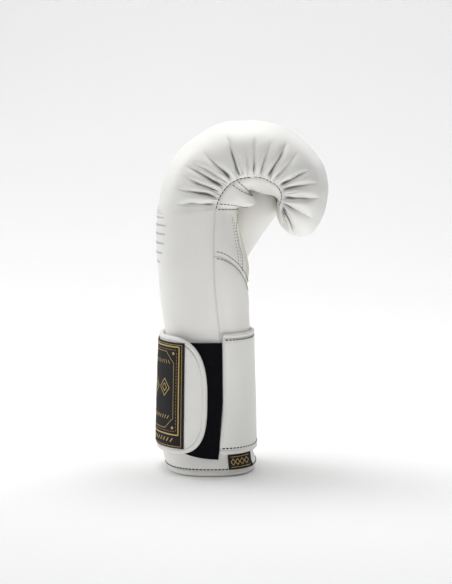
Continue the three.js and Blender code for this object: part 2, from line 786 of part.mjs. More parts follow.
// Fist and thumb, with the way for the thumb cut through from the hand's space
const thumbSpace = solidOf(makeThumbForm(thumbWall, 6));
addMesh('fist_shell', geometryFrom(solidOf(makeFistShell()).subtract(thumbSpace)), whiteLeather);
for (const panel of panels) {
  addMesh(panel.name, geometryFrom(solidOf(makePanel(panel)).subtract(thumbSpace)), innerLeather);
}
const thumbForm = solidOf(makeThumbForm(0, 8)).subtract(solidOf(makeFistEnvelope(thumbClearance)));
addMesh('thumb', geometryFrom(thumbForm.subtract(thumbSpace)), whiteLeather);

addMesh('cuff', makeCuff(), whiteLeather);
addMesh('cuff_binding', makeCuffBinding(), trimLeather);
addMesh('loop_patch', makeLoopPatch(), loopFabric);
addMesh('wrist_strap', makeStrap(), whiteLeather);
addMesh('strap_binding', makeStrapBinding(), trimLeather);
addMesh('strap_label', makeStrapLabel(), labelFabric);
addMesh('cuff_label', makeCuffLabel(), labelFabric);

const glove = new THREE.Group();
glove.add(...meshes);

// The origin is on the floor, under the middle of the glove
const box = new THREE.Box3().setFromObject(glove);
glove.position.set(-(box.min.x + box.max.x) / 2, -(box.min.y + box.max.y) / 2, -box.min.z);

export default glove;
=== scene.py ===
"""Looks of a white leather boxing glove for the right hand, standing upright on its cuff.

X runs from the back of the hand to the palm, Y from the little finger to the thumb, Z up.
Lengths are in millimetres in the glove's own frame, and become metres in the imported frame
when a mesh is made.
"""

import math

import bpy
import numpy as np
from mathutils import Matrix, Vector


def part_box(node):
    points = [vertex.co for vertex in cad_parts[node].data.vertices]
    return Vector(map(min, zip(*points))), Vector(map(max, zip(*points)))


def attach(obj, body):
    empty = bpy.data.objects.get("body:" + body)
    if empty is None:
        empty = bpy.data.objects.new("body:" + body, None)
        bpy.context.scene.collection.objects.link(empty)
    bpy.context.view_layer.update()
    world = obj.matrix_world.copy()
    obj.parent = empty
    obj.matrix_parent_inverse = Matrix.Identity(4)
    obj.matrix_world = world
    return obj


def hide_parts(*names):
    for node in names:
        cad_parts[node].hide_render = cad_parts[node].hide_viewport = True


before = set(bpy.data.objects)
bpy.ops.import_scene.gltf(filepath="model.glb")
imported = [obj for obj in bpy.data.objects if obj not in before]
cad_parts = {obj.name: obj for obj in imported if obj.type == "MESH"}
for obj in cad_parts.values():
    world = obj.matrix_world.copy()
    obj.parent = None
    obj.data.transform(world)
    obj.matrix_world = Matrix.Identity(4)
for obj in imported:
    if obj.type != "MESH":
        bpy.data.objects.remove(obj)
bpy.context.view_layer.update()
bpy.ops.object.select_all(action="DESELECT")

MM = 0.001

# Fist
FIST_FOOT = 112.0
FIST_REACH = 147.0
FIST_RISE = 188.0
FIST_WIDTH = 126.0
SHELL_ROUNDNESS = 2.5
ROLL_DEPTH = 14.0
ROLL_INSET = 9.0
ROLL_SHARE = 0.2
SIDE_WALL = 10.0
PANEL_ROUNDNESS = 2.3
PANEL_WALL = 6.5
PUFF_HEIGHT = 3.0
SEAM_GAP = 0.3

# Cuff and its rolled binding
CUFF_DEPTH = 78.0
CUFF_WIDTH = 102.0
CUFF_WALL = 8.0
CUFF_ROUNDNESS = 2.5
ROLL_HEIGHT = 5.6
ROLL_WIDTH = 9.5

# Wrist strap, loop patch and labels
STRAP_BOTTOM = 19.0
STRAP_WIDTH = 100.0
STRAP_THICKNESS = 3.6
BINDING_DIAMETER = 4.4
STRAP_START = 10.0
STRAP_END = -2.5
STRAP_END_LENGTH = 31.0
STRAP_END_ROUNDNESS = 2.5
STRAP_LOWER_ROUNDNESS = 3.4
STRAP_RAMP = 22.0
STRAP_RISE = 3.0
STRAP_SLANT = 3.2
PATCH_THICKNESS = 2.2
PATCH_FAR_EDGE = -21.0
PATCH_BOTTOM = 15.0
PATCH_HEIGHT = 99.0
PATCH_SLANT = 4.4
LABEL_THICKNESS = 1.0
LABEL_EDGE = -19.5
LABEL_FAR_EDGE = -25.0
LABEL_MARGIN = 0.4
CUFF_LABEL_LENGTH = 18.6
CUFF_LABEL_HEIGHT = 12.4
CUFF_LABEL_CENTRE = 23.8

# Thumb
THUMB_WIDTH = 49.0
THUMB_RISE = 62.0
THUMB_OUT = 10.0
THUMB_FORWARD = 44.6
THUMB_ROOT = (-2.0, FIST_WIDTH / 2 - 17.0, FIST_FOOT + 56.0)

# Sections of the fist from the wrist round to the fingertips: x and z of the back and of the palm,
# place of the seam, width, height of the hand's space, and how far the shell turns under.
# The first two follow the cuff's depth and width, the others the fist's.
FIST_SECTIONS = (
    (-0.51, 0, 0.415, 0, 0.34, 0.907, 0.45, 0.1),
    (-0.512, 0.05, 0.414, 0.05, 0.34, 0.912, 0.45, 0.15),
    (-0.295, 0.178, 0.214, 0.178, 0.353, 0.81, 0.41, 0.2),
    (-0.309, 0.316, 0.213, 0.316, 0.37, 0.87, 0.36, 0.25),
    (-0.319, 0.409, 0.189, 0.409, 0.335, 0.9, 0.35, 0.4),
    (-0.32, 0.5, 0.16, 0.5, 0.294, 0.93, 0.34, 0.6),
    (-0.315, 0.574, 0.146, 0.574, 0.266, 0.95, 0.33, 0.8),
    (-0.31, 0.601, 0.149, 0.596, 0.265, 0.96, 0.31, 0.9),
    (-0.304, 0.633, 0.18, 0.613, 0.305, 0.97, 0.28, 1),
    (-0.278, 0.729, 0.22, 0.623, 0.343, 0.99, 0.25, 1),
    (-0.227, 0.82, 0.238, 0.638, 0.335, 1, 0.25, 1),
    (-0.157, 0.887, 0.238, 0.655, 0.305, 1, 0.25, 1),
    (-0.04, 0.952, 0.224, 0.67, 0.253, 1, 0.26, 1),
    (0.065, 0.991, 0.222, 0.684, 0.208, 1, 0.27, 1),
    (0.193, 1, 0.234, 0.692, 0.193, 1, 0.27, 1),
    (0.298, 0.998, 0.259, 0.69, 0.199, 0.99, 0.26, 1),
    (0.409, 0.978, 0.284, 0.684, 0.203, 0.98, 0.25, 1),
    (0.508, 0.932, 0.308, 0.679, 0.195, 0.97, 0.23, 1),
    (0.59, 0.873, 0.331, 0.676, 0.181, 0.96, 0.2, 1),
    (0.654, 0.802, 0.354, 0.67, 0.142, 0.94, 0.12, 1),
    (0.683, 0.711, 0.372, 0.661, 0.103, 0.91, 0, 1),
    (0.675, 0.629, 0.382, 0.647, 0.067, 0.88, 0, 1),
    (0.648, 0.558, 0.387, 0.636, 0.039, 0.84, 0, 1),
    (0.598, 0.496, 0.391, 0.625, 0.013, 0.8, 0, 0.9),
    (0.528, 0.473, 0.393, 0.615, 0, 0.75, 0, 0.75),
    (0.457, 0.488, 0.394, 0.605, 0, 0.7, 0, 0.55),
    (0.41, 0.521, 0.393, 0.597, 0, 0.66, 0, 0.35),
    (0.391, 0.551, 0.391, 0.59, 0, 0.62, 0, 0.2),
)
SECTIONS_IN_STRAP = 2
LAST_SECTION = len(FIST_SECTIONS) - 1

# Creases gathered into the seam round the curl: place at the seam, half way along and at the far
# end, counted in sections, then how far the crease reaches from the seam, and its depth and width
# as shares of the usual ones.
CREASES = (
    (8.43, 8.22, 8.05, 38, 1.1, 1.3),
    (9.08, 8.97, 8.90, 40, 1.5, 1.0),
    (9.53, 9.55, 9.55, 41, 1.2, 0.9),
    (10.15, 10.18, 10.18, 43, 1.5, 1.0),
    (10.80, 10.68, 10.62, 41, 0.8, 0.8),
    (11.30, 11.36, 11.40, 38, 1.3, 1.1),
    (12.32, 12.78, 12.95, 43, 1.2, 1.0),
    (12.98, 13.10, 13.20, 22, 0.6, 0.7),
    (13.62, 13.78, 13.88, 27, 0.7, 0.6),
    (14.35, 14.48, 14.55, 38, 0.9, 0.7),
    (15.15, 15.43, 15.58, 34, 0.8, 0.9),
    (16.20, 16.43, 16.53, 40, 1.3, 1.0),
    (16.95, 17.25, 17.45, 36, 0.7, 1.0),
    (18.05, 18.50, 18.73, 35, 1.2, 1.1),
    (18.95, 19.38, 19.60, 37, 1.1, 1.4),
    (20.40, 20.53, 20.62, 37, 1.1, 1.5),
    (21.60, 22.00, 22.20, 33, 0.8, 1.1),
    (22.75, 24.10, 24.53, 36, 1.1, 1.1),
    (23.25, 24.85, 25.55, 30, 0.6, 1.0),
    (23.60, 25.35, 26.10, 27, 0.5, 0.9),
)
CREASE_DEPTH = 3.4
CREASE_WIDTH = 0.65

# How far a crease's line wavers, how it widens away from the seam, how much of its depth is the
# sharp line, and how much wider the soft trough is
CREASE_WAVER = 0.4
CREASE_FINE_WAVER = 0.14
CREASE_START_WIDTH = 0.5
CREASE_WIDENING = 0.022
CREASE_SHARP_SHARE = 0.62
CREASE_TROUGH_WIDTH = 3.4

# Short creases beside each long one: step along the seam, and reach as a share of the long one's
BRANCHES = ((0.26, 0.5), (-0.22, 0.38))
BRANCH_DEPTH = 1.2
BRANCH_WIDTH = 0.7

# Depths of a crease between which painted shade darkens the leather in it
CREASE_SHADE_DEPTHS = (1.7, 4.4)

# Small random creases close to the seam
FINE_CREASES = 110
FINE_CREASE_DEPTH = 1.0
FINE_CREASE_WIDTH = 0.55

# Inner panels: name, place of each edge at the seam, how much lower it runs in the middle of the
# palm, and how far the pad is puffed up between its edges
PANELS = (
    ("palm_heel_panel", 0, 0, 3.9, 1.45, 1.2),
    ("palm_centre_panel", 3.9, 1.45, 7.75, 0.3, 1.6),
    ("grip_pad", 7.75, 0.3, 11.2, -0.7, 4.0),
    ("finger_panel", 11.2, -0.7, 21.4, 0, 2.0),
)

# Outline of the cuff: height as a share of the cuff's, and half sizes as shares of its own
CUFF_SECTIONS = (
    (0, 0.485, 0.478, 0.485),
    (0.05, 0.5, 0.495, 0.495),
    (0.1, 0.52, 0.47, 0.48),
    (0.17, 0.547, 0.456, 0.465),
    (0.5, 0.54, 0.445, 0.462),
    (0.8, 0.526, 0.43, 0.461),
    (1, 0.515, 0.422, 0.46),
)

# Spine of the thumb: forward, out and up as shares of its own sizes, and its width as a share
THUMB_SECTIONS = (
    (-0.2, -2.6, -0.42, 0.84),
    (0, -0.4, 0, 0.98),
    (0.27, 0.7, 0.34, 1),
    (0.6, 1, 0.68, 0.96),
    (1, 0.9, 1, 0.85),
)


def fist_rows():
    """The sections' table with its lengths worked out, one row for each section."""
    rows = []
    for i, (back_x, back_z, palm_x, palm_z, seam, width, hollow, roll) in enumerate(FIST_SECTIONS):
        in_strap = i < SECTIONS_IN_STRAP
        depth = CUFF_DEPTH if in_strap else FIST_REACH
        whole = CUFF_WIDTH if in_strap else FIST_WIDTH
        back = (back_x * depth, FIST_FOOT + back_z * FIST_RISE)
        palm = (palm_x * depth, FIST_FOOT + palm_z * FIST_RISE)
        rows.append((*back, *palm, seam, width * whole / 2, hollow, roll))
    return np.array(rows)


FIST_ROWS = fist_rows()
CUFF_ROWS = np.array(CUFF_SECTIONS, float)
THUMB_ROWS = np.array(THUMB_SECTIONS, float)


def column_at(table, place):
    """Smooth values of all columns of a table at places counted in rows."""
    place = np.asarray(place, float)
    last = len(table) - 1
    row = np.clip(np.floor(place).astype(int), 0, last - 1)
    t = (place - row)[..., None]
    before = table[np.maximum(0, row - 1)]
    start = table[row]
    end = table[row + 1]
    after = table[np.minimum(last, row + 2)]
    slope_start = (end - before) / 2
    slope_end = (after - start) / 2
    t2 = t * t
    t3 = t2 * t
    ends = (2 * t3 - 3 * t2 + 1) * start + (3 * t2 - 2 * t3) * end
    return ends + (t3 - 2 * t2 + t) * slope_start + (t3 - t2) * slope_end


def smooth_step(low, high, value):
    t = np.clip((value - low) / (high - low), 0, 1)
    return t * t * (3 - 2 * t)


def signed_power(value, power):
    return np.sign(value) * np.abs(value) ** power


def unit(vectors):
    return vectors / np.maximum(np.linalg.norm(vectors, axis=-1, keepdims=True), 1e-9)


# Making of meshes


def cuff_point(turn, height, grow=0.0):
    """Outline of the cuff at a turn from the palm round by the thumb side, and at a height."""
    turn, height, grow = np.broadcast_arrays(np.asarray(turn, float), height, grow)
    share = np.clip(height / FIST_FOOT, 0, 1)
    place = np.interp(share, CUFF_ROWS[:, 0], np.arange(len(CUFF_ROWS)))
    row = column_at(CUFF_ROWS, place)
    depth = np.where(np.cos(turn) > 0, row[..., 2], row[..., 1]) * CUFF_DEPTH + grow
    width = row[..., 3] * CUFF_WIDTH + grow
    x = depth * signed_power(np.cos(turn), 2 / CUFF_ROUNDNESS)
    y = width * signed_power(np.sin(turn), 2 / CUFF_ROUNDNESS)
    return np.stack([x, y, height * np.ones_like(x)], -1)


def frame_shift():
    """Step from the glove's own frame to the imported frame, read off the cuff's binding."""
    low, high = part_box("cuff_binding")
    palm_edge = cuff_point(0.0, ROLL_HEIGHT / 2)[0]
    return np.array([high.x / MM - palm_edge, (low.y + high.y) / (2 * MM), low.z / MM])


SHIFT = frame_shift()


def mesh_object(name, points, faces, smooth=True, crease_shade=None):
    """New object from points in millimetres in the glove's frame, with how strongly painted shade
    darkens each point in a crease.
    """
    mesh = bpy.data.meshes.new(name)
    mesh.from_pydata(((points + SHIFT) * MM).tolist(), [], faces)
    mesh.update()
    if crease_shade is not None:
        # Painted shade: share of the crease tint mixed into the leather at each point
        depth = np.zeros(len(points), np.float32)
        depth[:crease_shade.size] = np.clip(crease_shade.ravel(), 0, 1)
        mesh.attributes.new("painted_crease_shade", "FLOAT", "POINT").data.foreach_set("value", depth)
    if smooth:
        mesh.shade_smooth()
    else:
        mesh.shade_flat()
    piece = bpy.data.objects.new(name, mesh)
    bpy.context.scene.collection.objects.link(piece)
    return piece


def grid_faces(rows, columns, first=0, round_columns=False):
    """Quads over a grid of points numbered row by row, closed on itself across if round."""
    i, j = np.meshgrid(np.arange(rows - 1), np.arange(columns if round_columns else columns - 1),
                       indexing="ij")
    next_column = (j + 1) % columns
    corners = (i * columns + j, i * columns + next_column,
               (i + 1) * columns + next_column, (i + 1) * columns + j)
    return (np.stack(corners, -1).reshape(-1, 4) + first).tolist()


def zip_between(a, b):
    """Triangles between two rows of point numbers that run side by side."""
    faces = []
    i = j = 0
    spans_a = len(a) - 1
    spans_b = len(b) - 1
    while i < spans_a or j < spans_b:
        if j == spans_b or (i < spans_a and (i + 1) * spans_b <= (j + 1) * spans_a):
            faces.append((a[i], a[i + 1], b[j]))
            i += 1
        else:
            faces.append((a[i], b[j + 1], b[j]))
            j += 1
    return faces


def faces_out(piece):
    """Turns all faces of a closed piece outwards."""
    bpy.ops.object.select_all(action="DESELECT")
    piece.select_set(True)
    bpy.context.view_layer.objects.active = piece
    bpy.ops.object.mode_set(mode="EDIT")
    bpy.ops.mesh.select_all(action="SELECT")
    bpy.ops.mesh.remove_doubles(threshold=1e-6)
    bpy.ops.mesh.normals_make_consistent(inside=False)
    bpy.ops.object.mode_set(mode="OBJECT")
    piece.select_set(False)
    return piece


def wall(name, outer, inner, round_columns=False, crease_shade=None):
    """Closed body between an outer and an inner grid of points, of any two finenesses."""
    rows_o, columns_o = outer.shape[:2]
    rows_i, columns_i = inner.shape[:2]
    first = rows_o * columns_o
    points = np.concatenate([outer.reshape(-1, 3), inner.reshape(-1, 3)])
    faces = grid_faces(rows_o, columns_o, 0, round_columns)
    faces += [face[::-1] for face in grid_faces(rows_i, columns_i, first, round_columns)]
    out = np.arange(first).reshape(rows_o, columns_o)
    inn = np.arange(rows_i * columns_i).reshape(rows_i, columns_i) + first
    if round_columns:
        out = np.concatenate([out, out[:, :1]], 1)
        inn = np.concatenate([inn, inn[:, :1]], 1)
    edges = [(out[0], inn[0]), (out[-1], inn[-1])]
    if not round_columns:
        edges += [(out[:, 0], inn[:, 0]), (out[:, -1], inn[:, -1])]
    for a, b in edges:
        faces += zip_between(a.tolist(), b.tolist())
    return faces_out(mesh_object(name, points, faces, crease_shade=crease_shade))


def tube(name, rings, closed=False):
    """Closed body through rings of points, capped at both ends unless it closes on itself."""
    rows, sides = rings.shape[:2]
    points = rings.reshape(-1, 3)
    if closed:
        rings = np.concatenate([rings, rings[:1]])
        faces = grid_faces(rows + 1, sides, 0, True)
        faces = (np.array(faces) % (rows * sides)).tolist()
    else:
        faces = grid_faces(rows, sides, 0, True)
        points = np.concatenate([points, rings[:1].mean(1), rings[-1:].mean(1)])
        for row, hub in ((0, rows * sides), (rows - 1, rows * sides + 1)):
            ring = [row * sides + j for j in range(sides)]
            faces += [(hub, ring[j], ring[(j + 1) % sides]) for j in range(sides)]
    return faces_out(mesh_object(name, points, faces))


def dress(piece, material, node=None):
    """Gives a finished piece its material and body, and hides the CAD node that it stands for."""
    piece.data.materials.append(material)
    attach(piece, "root")
    if node:
        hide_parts(node)
    return piece


# Fist shell


def fist_section(place):
    """Frames and sizes of the fist's sections at places counted along the table."""
    value = column_at(FIST_ROWS, place)
    zero = np.zeros_like(value[..., 0])
    back = np.stack([value[..., 0], zero, value[..., 1]], -1)
    palm = np.stack([value[..., 2], zero, value[..., 3]], -1)
    depth = np.linalg.norm(back - palm, axis=-1)
    seam = np.maximum(0, value[..., 4]) * depth
    roll = np.maximum(0, value[..., 7])
    half = value[..., 5]
    seam_half = half - ROLL_INSET * roll
    return {
        "palm": palm,
        "across": (back - palm) / depth[..., None],
        "depth": depth,
        "seam": seam,
        "half": half,
        "roll_top": seam + np.minimum(ROLL_DEPTH * roll, (depth - seam) / 2),
        "seam_half": seam_half,
        "hollow": np.maximum(0, value[..., 6]) * depth,
        "hollow_half": seam_half - np.minimum(SIDE_WALL, seam_half / 2),
    }


def in_section(section, r, y):
    """Points from a section's own two directions: r from palm to back, y across the hand."""
    points = section["palm"][:, None, :] + section["across"][:, None, :] * r[..., None]
    points[..., 1] += y
    return points


def side_arc(section, share):
    """r and y of one side at shares of the way from the seam to the middle of the back."""
    seam, top, depth, half, seam_half = (
        section[key][:, None] for key in ("seam", "roll_top", "depth", "half", "seam_half"))
    turn = math.pi / 2 * (1 - np.clip(share / ROLL_SHARE, 0, 1))
    arch = math.pi / 2 * np.clip((share - ROLL_SHARE) / (1 - ROLL_SHARE), 0, 1)
    r_roll = top - (top - seam) * np.sin(turn)
    y_roll = half - (half - seam_half) * (1 - np.cos(turn))
    r_arch = top + (depth - top) * np.sin(arch) ** (2 / SHELL_ROUNDNESS)
    y_arch = half * np.maximum(0, np.cos(arch)) ** (2 / SHELL_ROUNDNESS)
    in_roll = share < ROLL_SHARE
    return np.where(in_roll, r_roll, r_arch), np.where(in_roll, y_roll, y_arch)


def crease_line(crease, s):
    """Place of a crease at distances s from the seam, on a curve through its three places."""
    start, middle, end, reach = crease[:4]
    share = np.clip(s / reach, 0, 1.15)
    first = 4 * middle - 3 * start - end
    second = 2 * start - 4 * middle + 2 * end
    return start + first * share + second * share * share


def valley(place, s, spacing, crease, depth, width, phase=0.0):
    """Depth of one crease: a sharp wavering line in a softer trough that fades out past its reach."""
    reach = crease[3]
    waver = CREASE_WAVER * np.sin(s / 5.5 + phase)
    waver = waver + CREASE_FINE_WAVER * np.sin(s / 2.3 + 2.7 * phase)
    across = (place - crease_line(crease, s)) * spacing + waver * smooth_step(2, 12, s)
    wide = width * (CREASE_START_WIDTH + CREASE_WIDENING * s)
    along = 0.3 + 0.7 * smooth_step(0, 0.3 * reach, s)
    along = along * (1 - smooth_step(0.55, 1.15, s / reach)) * (1 + 0.18 * np.sin(s / 3.7 + 2 * phase))
    sharp = np.exp(-((np.abs(across) / wide) ** 1.15))
    trough = np.exp(-((across / (CREASE_TROUGH_WIDTH * wide)) ** 2))
    return depth * along * (CREASE_SHARP_SHARE * sharp + (1 - CREASE_SHARP_SHARE) * trough)


def gather_relief(place, s, spacing, creases, seed):
    """Height of the gathered leather's puffs, and the depth of its creases."""
    height = np.zeros_like(s)
    deep = np.zeros_like(s)
    lines = [crease_line(crease, s) for crease in creases]
    for k in range(len(creases) - 1):
        gap = np.maximum(lines[k + 1] - lines[k], 1e-3)
        t = (place - lines[k]) / gap
        between = (t > 0) & (t < 1)
        inside = np.clip(t, 0, 1)
        reach = creases[k][3] + (creases[k + 1][3] - creases[k][3]) * inside
        puff = np.minimum(PUFF_HEIGHT, 0.3 * gap * spacing) * np.sin(math.pi * inside) ** 0.75
        fade = smooth_step(0, 5, s) * (1 - smooth_step(0.25, 1.1, s / reach))
        height += np.where(between, puff * fade, 0)
    for k, crease in enumerate(creases):
        depth = CREASE_DEPTH * crease[4]
        deep += valley(place, s, spacing, crease, depth, CREASE_WIDTH * crease[5], 1.7 * k)
        for step, join in BRANCHES:
            branch = (crease[0] + step, crease[0] + step * 0.7, crease[1], crease[3] * join)
            deep += valley(place, s, spacing, branch, BRANCH_DEPTH * crease[4], BRANCH_WIDTH,
                           0.9 * k + step)
    random = np.random.default_rng(seed)
    first = creases[0][0] - 0.4
    last = creases[-1][0] + 1.2
    for start in np.linspace(first, last, FINE_CREASES) + random.uniform(-0.08, 0.08, FINE_CREASES):
        lean = random.uniform(-0.12, 0.22)
        fine = (start, start + lean * 0.6, start + lean, random.uniform(6, 22))
        depth = FINE_CREASE_DEPTH * random.uniform(0.3, 1)
        deep += valley(place, s, spacing, fine, depth, FINE_CREASE_WIDTH, 20 * lean)
    return height, deep


def slow_waves(place, share, side):
    """Gentle unevenness of the padding under the leather."""
    wave = np.sin(1.7 * place + 2.1 * side) * np.sin(5.2 * share + 0.9 * place)
    wave += 0.6 * np.sin(0.9 * place - 1.3 * side + 7.0 * share)
    return 0.28 * wave * smooth_step(0.05, 0.3, share) * (1 - smooth_step(0.75, 1, share))


def far_creases():
    """Creases of the thumb side: the same gathers, a little out of step."""
    made = []
    for k, (start, middle, end, reach, depth, width) in enumerate(CREASES):
        step = 0.16 * math.sin(2.3 * k + 0.8)
        turn = 0.12 * math.sin(1.9 * k)
        made.append((start + step, middle + step + turn / 2, end + step + turn,
                     reach * (1 + 0.12 * math.sin(3.1 * k)), depth, width))
    return tuple(made)


def shell_side(places, shares, side):
    """Skin of one side of the shell: side is -1 near the little finger and 1 near the thumb."""
    section = fist_section(places)
    r, y = side_arc(section, shares[None, :] * np.ones((len(places), 1)))
    run = unit(np.stack([np.gradient(r, axis=1), np.gradient(y, axis=1)], -1))
    step = np.hypot(np.diff(r, axis=1), np.diff(y, axis=1))
    s = np.concatenate([np.zeros((len(places), 1)), np.cumsum(step, 1)], 1)
    flat = in_section(section, r, side * y)
    spacing = np.linalg.norm(np.gradient(flat, places, axis=0), axis=-1)
    place = places[:, None] * np.ones_like(s)
    creases = CREASES if side < 0 else far_creases()
    height, deep = gather_relief(place, s, spacing, creases, 11 if side < 0 else 12)
    at_seam = smooth_step(0, 2.5, s)
    lift = (height - deep + slow_waves(place, shares[None, :], side)) * at_seam
    skin = in_section(section, r - run[..., 1] * lift, side * (y + run[..., 0] * lift))
    # Second result is painted shade: how far the leather is darkened in each crease, from the crease's
    # depth
    return skin, smooth_step(*CREASE_SHADE_DEPTHS, deep * at_seam)


# Places between which the leather is gathered, and the rows of the skin before, in and after them
GATHERED = (7.6, 25.4)
SKIN_ROWS = (76, 530, 20)


def shell_places():
    """Rows of the shell's skin, closest together where the leather is gathered."""
    return np.concatenate([
        np.linspace(0, GATHERED[0], SKIN_ROWS[0], endpoint=False),
        np.linspace(*GATHERED, SKIN_ROWS[1], endpoint=False),
        np.linspace(GATHERED[1], LAST_SECTION, SKIN_ROWS[2]),
    ])


SIDE_COLUMNS = 76


def shell_skin(places):
    shares = np.linspace(0, 1, SIDE_COLUMNS) ** 1.15
    near, near_crease_shade = shell_side(places, shares, -1)
    far, far_crease_shade = shell_side(places, shares, 1)
    skin = np.concatenate([near, far[:, -2::-1]], 1)
    return skin, np.concatenate([near_crease_shade, far_crease_shade[:, -2::-1]], 1)


def shell_lining(places, count):
    """Inner side of the shell, with the hand's space above the seam."""
    section = fist_section(places)
    turn = np.linspace(-math.pi / 2, math.pi / 2, count)[None, :]
    power = 2 / SHELL_ROUNDNESS
    r = section["seam"][:, None] + section["hollow"][:, None] * np.maximum(0, np.cos(turn)) ** power
    y = section["hollow_half"][:, None] * signed_power(np.sin(turn), power)
    return in_section(section, r, y)


def make_fist_shell(material):
    outer, crease_shade = shell_skin(shell_places())
    inner = shell_lining(np.linspace(0, LAST_SECTION, 90), 30)
    piece = wall("fist_shell_leather", outer, inner, crease_shade=crease_shade)
    return dress(piece, material, "fist_shell")


# Inner panels


def panel_surface(place, share, lift):
    """Points of an inner panel across the palm, share running from -1 to 1."""
    flat = np.ravel(place)
    section = fist_section(flat)
    across = np.ravel(share)
    inwards = np.ravel(lift * np.ones_like(share))
    land = section["seam"] - SEAM_GAP
    bow = np.maximum(0, 1 - np.abs(across) ** PANEL_ROUNDNESS) ** (1 / PANEL_ROUNDNESS)
    r = land - np.maximum(0, land - inwards) * bow
    y = across * (section["seam_half"] - inwards * 0.6)
    points = section["palm"] + section["across"] * r[:, None]
    points[:, 1] += y
    return points.reshape(*np.shape(place), 3)


def panel_place(panel, t, share):
    """Place along the sections at a share t of the way between a panel's two dipping edges."""
    middle = 1 - share * share
    start = panel[1] - panel[2] * middle
    end = panel[3] - panel[4] * middle
    return start + (end - start) * t


def panel_length(panel, share):
    """Length of a panel between its two sewn edges, at shares across it."""
    start = panel_surface(panel_place(panel, 0 * share, share), share, 0)
    end = panel_surface(panel_place(panel, 0 * share + 1, share), share, 0)
    return np.linalg.norm(end - start, axis=-1)


def panel_lift(panel, t, share, place):
    """Padding of a panel: crowned in the middle, drawn in along its sewn edges and its sides."""
    edge = np.minimum(t, 1 - t) * panel_length(panel, share)
    crown = smooth_step(0, 9, edge) * (1 - np.abs(share) ** 5)
    pinch = np.exp(-((edge / 1.4) ** 2)) * (1 - np.abs(share) ** 8)
    section = fist_section(np.ravel(place))
    bow = np.maximum(0, 1 - np.abs(share) ** PANEL_ROUNDNESS) ** (1 / PANEL_ROUNDNESS)
    in_from_side = np.hypot(bow * section["seam"].reshape(place.shape),
                            (1 - np.abs(share)) * section["seam_half"].reshape(place.shape))
    groove = np.exp(-((in_from_side / 1.7) ** 2)) * smooth_step(7.4, 9, place)
    wrinkle = 0.25 * np.sin(9 * t + 6 * share) * np.sin(14 * share + 3 * t)
    wrinkle = wrinkle * (1 - np.abs(share) ** 4) * smooth_step(0, 6, edge)
    return panel[5] * crown - 0.5 * pinch - 0.8 * groove + wrinkle


def raised_panel(panel, t, share):
    """Points of a panel's padded skin, with the direction out of it."""
    step = 1e-3
    place = panel_place(panel, t, share)
    base = panel_surface(place, share, 0)
    along = panel_surface(place + step, share, 0) - base
    low = np.clip(share - step, -1, 1)
    high = np.clip(share + step, -1, 1)
    over = panel_surface(place, high, 0) - panel_surface(place, low, 0)
    normal = unit(np.cross(along, over))
    outwards = -fist_section(np.ravel(place))["across"].reshape(*place.shape, 3)
    outwards[..., 1] += share
    normal *= np.sign((normal * outwards).sum(-1, keepdims=True))
    return base + normal * panel_lift(panel, t, share, place)[..., None], normal


LAP_THICKNESS = 0.3
LAP_REACH = 0.02
LAP_ENDS = (7.3, 8.2)


def with_laps(outer, place):
    """Laps each side of a panel's skin over the shell's edge, as far up as the curl."""
    columns = [outer]
    for side, edge in ((-1, 0), (1, -1)):
        section = fist_section(place[:, edge])
        lap = 1 - smooth_step(*LAP_ENDS, place[:, edge])
        r, y = side_arc(section, LAP_REACH * np.ones((len(lap), 1)))
        rim = outer[:, edge:edge + 1] if edge == 0 else outer[:, edge:]
        tip = in_section(section, r, side * (y + LAP_THICKNESS))
        tip = rim + (tip - rim) * lap[:, None, None]
        sideways = np.array([0.0, LAP_THICKNESS * side, 0.0])
        under = rim - sideways + section["across"][:, None] * 0.05
        rim += sideways * lap[:, None, None]
        columns = [under, tip] + columns if edge == 0 else columns + [tip, under]
    return np.concatenate(columns, 1)


PANEL_ROWS = {"palm_heel_panel": 110, "palm_centre_panel": 120, "grip_pad": 100, "finger_panel": 170}
PANEL_COLUMNS = 150


def make_panel(panel, material):
    name = panel[0]
    t, across = np.meshgrid(np.linspace(0.002, 0.998, PANEL_ROWS[name]),
                            np.linspace(0, 1, PANEL_COLUMNS), indexing="ij")
    share = -np.cos(math.pi * across)
    outer = raised_panel(panel, t, share)[0]
    place = panel_place(panel, t, share)
    outer = with_laps(outer, place)
    inner = panel_surface(place[::6, ::6], share[::6, ::6], PANEL_WALL)
    piece = wall(name + "_leather", outer, inner)
    return dress(piece, material, name)


# Thumb


def thumb_centre(place):
    row = column_at(THUMB_ROWS, place)
    steps = row[..., :3] * np.array([THUMB_FORWARD, THUMB_OUT, THUMB_RISE])
    return steps + np.array(THUMB_ROOT)


def ring_points(centre, along, radius, sides):
    """Rings of points round centres, square to the given directions."""
    across = unit(np.cross(np.array([0.0, 1.0, 0.0]), along))
    out = unit(np.cross(along, across))
    turn = np.linspace(0, 2 * math.pi, sides, endpoint=False)
    ring = across[:, None] * np.cos(turn)[None, :, None] + out[:, None] * np.sin(turn)[None, :, None]
    return centre[:, None] + ring * np.asarray(radius)[:, None, None]


THUMB_SIDES = 72


def thumb_rings():
    last = len(THUMB_ROWS) - 1
    place = np.linspace(0, last, 90)
    before = thumb_centre(np.maximum(0, place - 0.05))
    after = thumb_centre(np.minimum(last, place + 0.05))
    radius = column_at(THUMB_ROWS, place)[..., 3] * THUMB_WIDTH / 2
    body = ring_points(thumb_centre(place), unit(after - before), radius, THUMB_SIDES)
    turn = np.linspace(0, math.pi / 2, 22)[1:-1]
    along = unit(after - before)[-1]
    centre = thumb_centre(place)[-1] + along * radius[-1] * np.sin(turn)[:, None]
    tip = ring_points(centre, np.tile(along, (len(turn), 1)), radius[-1] * np.cos(turn), THUMB_SIDES)
    return np.concatenate([body, tip])


